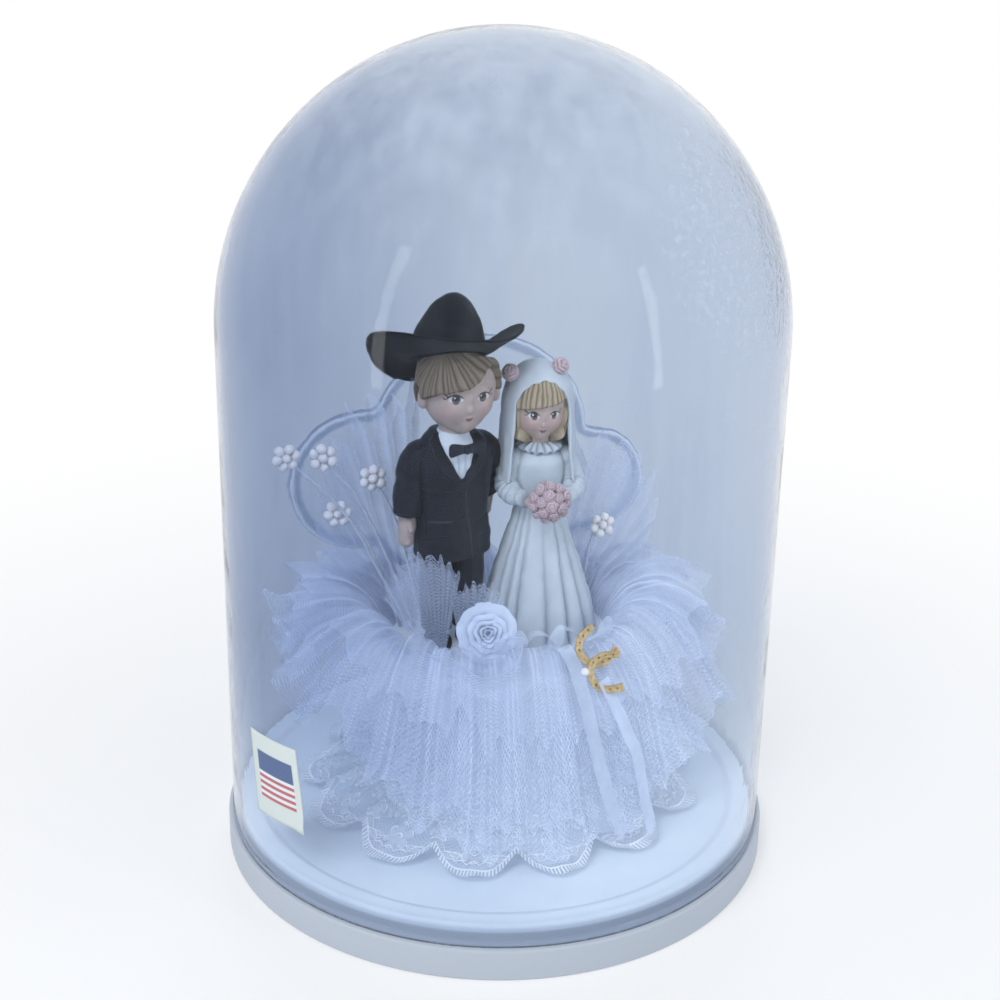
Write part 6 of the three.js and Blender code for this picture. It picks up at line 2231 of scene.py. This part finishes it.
@dataclass
class Bride(Figure):
    """The bride: a white gown in deep folds, a veil with roses, fair bobbed hair and pink roses in hand."""

    x: float = 12.8
    turn: float = -6.0
    head: Triple = (-0.7, -0.5, 79.2)
    head_half: Triple = (8.2, 8.8, 12.0)
    middle: float = 0.1
    humps: tuple[tuple[float, ...], ...] = (
        (0.7, 4.1, 4.8, 1, 1, 3.8), (0.7, 0, 10.0, 1, 1.2, 3.2), (0.85, 0, 4.6, 1.1, 0.8, 1.2),
        (0.35, 0, 2.4, 1.3, 0.5, 1.3), (-0.4, 3.15, 1.8, 1, 1, 2.3), (0.4, 0, 7.2, 0.75, 1, 1.0),
    )
    jaw: Triple = (0.7, -7.0, -11.0)
    mouth_line: float = 0.0

    def gown_fold(self, x: Array, y: Array, z: Array) -> Array:
        """The skirt's uneven folds, from 0 in the valleys to 1 on the crests."""
        angle = np.arctan2(y, x)
        place = angle * 7 + 0.9 * np.sin(angle * 3 + 1.2) + 0.5 * np.sin(angle * 5 - z * 0.02)
        return np.abs(np.cos(place)) ** 0.8

    def gown(self) -> None:
        """The skirt and the bodice."""
        stops = [(0, 0, 0, 19.6, 17.6), (7.2, 0, 0, 18.4, 16.6), (18, 0, 0, 15.5, 14.0),
                 (29.7, 0, 0, 12.0, 10.8), (39.6, 0, 0, 8.8, 7.9), (45, 0, 0, 7.2, 6.5)]
        fold, hem = self.gown_fold, lambda z: 0.5 * step(1.4, 0.4, z)
        relief = lambda x, y, z: (fold(x, y, z) - 0.72) * 2.6 * (1 - z / 47.0) ** 0.6 + hem(z)
        # Painted shade in the fold valleys, more towards the hem.
        crease = lambda x, y, z: (1 - fold(x, y, z)) ** 2 * 0.85 * (1 - z / 60.0)
        skirt = oval_form(stops, 160, 420, relief)
        self.put(skirt, "bride_skirt", self.finish.gown, "bisque_white", "bride_gown", crease)
        stops = [(44.6, 0, 0, 7.3, 6.4), (51, 0, 0, 7.8, 6.8), (57, 0, 0, 8.5, 7.4), (61.3, 0, 0, 7.9, 6.9),
                 (63.7, 0, 0, 5.2, 4.9), (64.6, 0, 0, 3.6, 3.6)]
        relief = lambda x, y, z: 0.25 * waves(31, 6, 0.5 * x, 0.3 * z, 0.2 * y) - 0.35 * bump(z - 45.6, 0.9)
        # Painted shade along the waist seam.
        waist_painted_shade = lambda x, y, z: bump(z - 45.4, 0.7) * 0.6
        body = oval_form(stops, 80, 120, relief)
        self.put(body, "bride_bodice_form", self.finish.gown, "bisque_white", "bride_bodice", waist_painted_shade)

    def arms(self) -> None:
        """Long sleeves bent towards the flowers, with folds at the elbow, and the hands."""
        s = spread(150)
        stops = [(0, 1.4), (0.1, 3.3), (0.3, 3.7), (0.55, 3.8), (0.8, 3.1), (0.93, 2.4),
                 (0.96, 2.7), (1.0, 1.6)]
        # Painted shade in slanting bands across the sleeves.
        elbow = lambda x, y, z: 0.3 * bump(((x * 0.5 - z) * 0.5) % 1.0 - 0.5, 0.2)
        fingers = lambda x, y, z: -0.22 * bump((z * 2.2) % 1.0 - 0.5, 0.25) * step(0.0, -0.5, y)
        for side, name in ((-1, "right"), (1, "left")):
            path = smooth_path([(side * 6.2, 0.6, 63.4), (side * 9.0, -0.2, 58.6), (side * 10.9, -1.9, 52.6),
                                (side * 9.6, -6.4, 50.6), (side * 6.9, -11.0, 51.0)], 150)
            radius = through(stops, s)[:, 0] + 0.22 * np.sin(s * 75 + side) * bump(s - 0.62, 0.3)
            radius = radius + 0.16 * np.sin(s * 40) * bump(s - 0.15, 0.14)
            arm, node = tube(path, radius, 60), f"bride_sleeve_{name}"
            self.put(arm, f"{node}_form", self.finish.gown, "bisque_white", node, elbow)
            hand = ball_form((side * 4.9, -13.2, 50.5), (2.4, 1.9, 1.8), 26, 36, fingers)
            self.put(hand, f"bride_hand_{name}_form", self.finish.skin, "bisque_skin", f"bride_hand_{name}")

    def flowers(self) -> None:
        """The bunch of roses and the two on the veil."""
        centre = np.array([0.0, -16.4, 51.8])
        roses = [bloom(centre + [0, -3.4, 0], (0, -1, 0.1), 2.1)]
        for count, ring, back, size in ((6, 3.1, -2.7, 1.75), (11, 5.2, -0.9, 1.7), (11, 4.6, 1.2, 1.7)):
            for i in range(count):
                a = i / count * TAU + 0.3 * count
                out = np.array([math.cos(a), 0, math.sin(a)]) * ring
                roses.append(bloom(centre + out + [0, back, 0], out * 0.14 + [0, -0.75, 0], size))
        bunch = Surface.joined(roses).own()
        self.stand(bunch).make("bride_roses", self.finish.pink, "bisque_pink", "bride_bouquet")
        hx, _, hz = self.head
        for name, side, out, rise in (("left", -1, 9.6, 10.8), ("right", 1, 6.2, 12.2)):
            at = (hx + side * out, -2.4, hz + rise)
            rose, node = bloom(at, (side * 0.5, -0.7, 0.6), 2.7), f"veil_rose_{name}"
            self.stand(rose).make(f"{node}_bloom", self.finish.pink, "bisque_pink", node)

    @staticmethod
    def frill_painted_shade(x: Array, y: Array, z: Array) -> Array:
        """Painted shade between the frill's waves."""
        a = np.arctan2(y, x)
        return (0.5 - 0.5 * np.cos(a * 15 + 0.6 * np.sin(a * 3))) ** 2 * 0.7

    def collar(self) -> None:
        """The frilled collar: a flat ring about the neck that waves up and down and in and out."""
        a, b = np.meshgrid(spread(241, 0, TAU), spread(21, 0, TAU))
        frill = np.cos(a * 15 + 0.6 * np.sin(a * 3))
        outer = 0.5 + 0.5 * np.cos(b)
        radius = 4.8 + 2.2 * np.cos(b) + 0.35 * frill * outer
        height = 66.2 - 2.0 * outer + 0.7 * np.sin(b) + 0.6 * frill * outer
        ring = Surface.grid(stacked(radius * np.cos(a), radius * 0.96 * np.sin(a), height))
        self.put(ring, "bride_frill", self.finish.gown, "bisque_white", "bride_collar", self.frill_painted_shade)

    def head_form(self) -> None:
        """The head and neck, and the bobbed hair with its fringe."""
        skull = ball_form(self.head, self.head_half, 150, 200, self.face_relief)
        neck = [(61.8, 0, 0, 3.5, 3.5), (66, -0.2, 0, 3.4, 3.4), (70, -0.6, -0.3, 3.9, 3.9)]
        head = Surface.joined([skull, oval_form(neck, 16, 40)]).own()
        self.stand(head.crease_shaded().about(self.head)).make(
            "bride_head_form", self.finish.bride_face, "bisque_skin", "bride_head"
        )
        hx, hy, hz = self.head

        def azimuth(x: Array, y: Array) -> Array:
            """Degrees from the front."""
            return np.degrees(np.arctan2(x - hx, -(y - hy)))

        def strands(x: Array, y: Array, z: Array) -> Array:
            """Strands fall straight down and lean towards the face lower down."""
            a = np.radians(azimuth(x, y))
            inwards = 0.22 * (z - hz - 4) * step(0.9, 0.3, np.abs(a))
            return a * 34 + 0.09 * (z - hz) * np.sin(a) + 0.6 * np.sin(a * 11) - inwards

        def covered(x: Array, y: Array, z: Array) -> Array:
            """1 where hair lies outside the head: above the fringe, or round the sides and the back."""
            a = azimuth(x, y)
            fringe = 0.9 + 0.028 * a + 0.4 * np.cos(strands(x, y, z))
            wide = 56 + 1.5 * np.sin((z - hz) * 0.5) - 8 * step(-6.5, -11.5, z - hz)
            return np.maximum(step(-0.4, 0.5, z - hz - fringe), step(wide - 3, wide + 3, np.abs(a)))

        def relief(x: Array, y: Array, z: Array) -> Array:
            """Grooved strands where it is covered; elsewhere the surface sinks into the head."""
            radius = np.hypot(x - hx, y - hy)
            out = covered(x, y, z)
            groove = 0.34 * np.cos(strands(x, y, z)) * step(11, 8, z - hz)
            return out * groove - (1 - out) * (radius - 3.0)

        sections = [(-12.2, 0.6, 5.8, 6.0), (-11.4, 0.5, 7.4, 7.5), (-8, 0.3, 9.0, 9.2), (-2, 0, 9.6, 10.0),
                    (3, 0, 9.1, 9.6), (6.5, 0, 7.9, 8.3), (9.2, 0, 5.7, 6.1), (10.9, 0, 3.3, 3.5),
                    (11.5, 0, 0.5, 0.5)]
        stops = [(hz + rise, hx, hy + back, wide, deep) for rise, back, wide, deep in sections]
        hair = oval_form(stops, 200, 360, relief)
        across = strands(*hair.points.T)
        # Painted shade in the grooves between the strands.
        crease = np.clip(0.5 - 0.6 * np.cos(across), 0, 1) ** 2 * 0.8
        hair = self.stand(hair.marked(crease, across * 0.14))
        hair.make("bride_bob", self.finish.bride_hair, "bisque_hair", "bride_hair")

    def veil(self) -> None:
        """The veil: a hood over the head that falls as a curtain to the elbows.

        Its front edge is an arch, up one side, over the brow and down the other. From there it goes back to
        the middle of the back by half a turn: the sine of the turn scales the width, and above the head's
        centre the height too, and its cosine gives the depth. A second, smaller skin closes it from inside.
        """
        hx, _, hz = self.head
        s = spread(141)[None, :]
        share = 0.36
        low = np.clip(1 - s / share, 0, 1) + np.clip((s - (1 - share)) / share, 0, 1)
        over = np.clip((s - share) / (1 - 2 * share), 0, 1)
        alpha = math.pi * (1 - over)
        side = np.where(low > 0, np.where(s < 0.5, -1.0, 1.0), np.cos(alpha))
        arch = np.where(low > 0, 0.0, np.sin(alpha))
        front = np.radians(50.0 - 8.0 * arch + 1.2 * np.cos(s * 150) * arch)
        back = front + (math.pi - front) * spread(70)[:, None]

        def skin(inset: float) -> Array:
            """The outer skin, or an inner one at an inset.

            Args:
                inset: how far inside the outer skin it lies.

            Returns:
                Its points.
            """
            drop = 25.2 * low
            widen = 1 + 0.16 * low**1.5
            folds = (0.5 * np.sin(back * 9 + 0.8 * side) + 0.25 * np.sin(back * 17)) * low
            width = (11.6 - inset) * widen + folds
            depth = (11.3 - inset) * (1 + 0.08 * low) + folds
            x = hx + width * side * np.sin(back)
            y = 1.2 - depth * np.cos(back)
            hem = 0.5 * np.sin(back * 9) * (low > 0.97)
            return stacked(x, y, hz + (13.4 - inset) * arch * np.sin(back) ** 0.9 - drop + hem)

        outer, inner = skin(0.0), skin(1.1)
        rolled = outer[:1] + (inner[:1] - outer[:1]) * 0.5
        rolled[..., 1] -= 0.45
        parts = [Surface.grid(np.concatenate([inner[::-1], rolled, outer]))]
        parts += [Surface.grid(np.stack([outer[:, column], inner[:, column]])) for column in (0, -1)]
        # Painted shade in the curtain's fold valleys, below the head.
        valley = lambda x, y: (0.5 - 0.5 * np.sin(np.arctan2(y - 1.2, x - hx) * 9)) ** 2
        crease = lambda x, y, z: 0.25 * step(hz - 4, hz - 20, z) * valley(x, y)
        shape = Surface.joined(parts)
        self.put(shape, "bride_veil_hood", self.finish.gown, "bisque_white", "bride_veil", crease)

    def build(self) -> None:
        """Builds the bride."""
        self.gown()
        self.arms()
        self.collar()
        self.head_form()
        self.flowers()
        self.veil()


# Studio


@dataclass
class Studio:
    """The camera at the photograph's angle, a pale floor, and soft plain light."""

    place: Triple = (-0.16185, -0.52939, 0.35183)
    right: Triple = (0.95818, -0.28569, 0.01635)
    up: Triple = (0.09649, 0.37635, 0.92144)
    forward: Triple = (0.26940, 0.88133, -0.38818)
    lens: float = 67.656
    aim: Triple = (0.0, 0.0, 0.12)

    def camera(self) -> None:
        """Makes the camera."""
        data = bpy.data.cameras.new("camera")
        data.lens, data.sensor_width = self.lens, 36.0
        data.clip_start, data.clip_end = 0.02, 50.0
        camera = bpy.data.objects.new("camera", data)
        axes = [self.right, self.up, tuple(-v for v in self.forward)]
        rows = [[axes[c][r] for c in range(3)] + [self.place[r]] for r in range(3)]
        camera.matrix_world = Matrix([*rows, [0, 0, 0, 1]])
        bpy.context.scene.collection.objects.link(camera)
        bpy.context.scene.camera = camera

    def floor(self) -> None:
        """A pale disc that the object stands on, lit as it is near the object, and white farther off."""
        p = Paint("pale_floor")
        x, y, _ = p.parts(p.object_place())
        far = (x * x + y * y).math("SQRT").over(130.0, 420.0)
        plain = p.coated(Base_Color=(0.86, 0.87, 0.89), Roughness=0.9, Specular_IOR_Level=0.1)
        glow = p.node("ShaderNodeEmission", inputs={"Color": (1.0, 1.0, 1.0), "Strength": 1.0})
        finish = p.done(p.blend(p.seen() * (far * 0.55 + 0.45), plain, glow))
        angle = spread(97, 0, TAU)[None, :]
        radius = np.array([[0.0], [400.0], [2000.0], [9000.0]])
        disc = Surface.grid(stacked(radius * np.cos(angle), radius * np.sin(angle), -0.2))
        mesh = bpy.data.meshes.new("floor")
        mesh.from_pydata((disc.points * MM).tolist(), [], disc.quads.tolist())
        mesh.materials.append(finish)
        floor = bpy.data.objects.new("floor", mesh)
        bpy.context.scene.collection.objects.link(floor)

    def lamp(
        self,
        name: str,
        place: Sequence[float],
        size: Pair,
        power: float,
        colour: Colour,
        mirrored: bool,
    ) -> None:
        """A soft lamp aimed at the middle of the object.

        Args:
            name: its name.
            place: where it stands, in metres.
            size: its width and height.
            power: its power in watts.
            colour: its colour.
            mirrored: whether shiny surfaces show it.
        """
        data = bpy.data.lights.new(name, "AREA")
        data.shape, data.size, data.size_y, data.energy, data.color = "RECTANGLE", *size, power, colour
        lamp = bpy.data.objects.new(name, data)
        lamp.location = place
        lamp.rotation_euler = (Vector(place) - Vector(self.aim)).to_track_quat("Z", "Y").to_euler()
        lamp.visible_glossy, lamp.visible_transmission = mirrored, False
        bpy.context.scene.collection.objects.link(lamp)

    def light(self) -> None:
        """The world's even light, white where the camera, metal and glass see it, and five soft lamps."""
        p = Paint("studio", "World")
        plain = p.node("ShaderNodeBackground", inputs={"Color": (0.86, 0.92, 1.0), "Strength": 0.5})
        white = p.node("ShaderNodeBackground", inputs={"Color": (1.0, 1.0, 1.0), "Strength": 1.0})
        bpy.context.scene.world = p.done(p.blend(p.seen(), plain, white))
        self.lamp("key", (-0.55, -0.6, 1.05), (0.5, 0.5), 7.6, (1.0, 0.99, 0.97), False)
        self.lamp("fill", (0.85, -0.45, 0.5), (0.5, 0.5), 1.5, (0.92, 0.96, 1.0), False)
        self.lamp("rim", (0.3, 0.9, 0.7), (0.5, 0.5), 3.0, (0.92, 0.96, 1.0), False)
        self.lamp("strip_left", (-0.80, -0.42, 0.35), (0.075, 0.9), 1.7, (0.95, 0.98, 1.0), True)
        self.lamp("strip_right", (0.62, -0.72, 0.30), (0.06, 0.7), 1.2, (0.95, 0.98, 1.0), True)

    def build(self) -> None:
        """Builds the studio."""
        self.camera()
        self.floor()
        self.light()
        bpy.context.scene.view_settings.view_transform = "Standard"


def main() -> None:
    """Builds the scene in order."""
    logging.basicConfig(level=logging.INFO, format="%(name)s: %(message)s")
    Studio().build()
    finish = Finishes.made()
    DisplayCase(finish).build()
    Stand(finish).build()
    Cloth(finish).build()
    Trim(finish).build()
    Groom(finish).build()
    Bride(finish).build()
    bpy.context.view_layer.update()


if __name__ == "__main__":
    main()
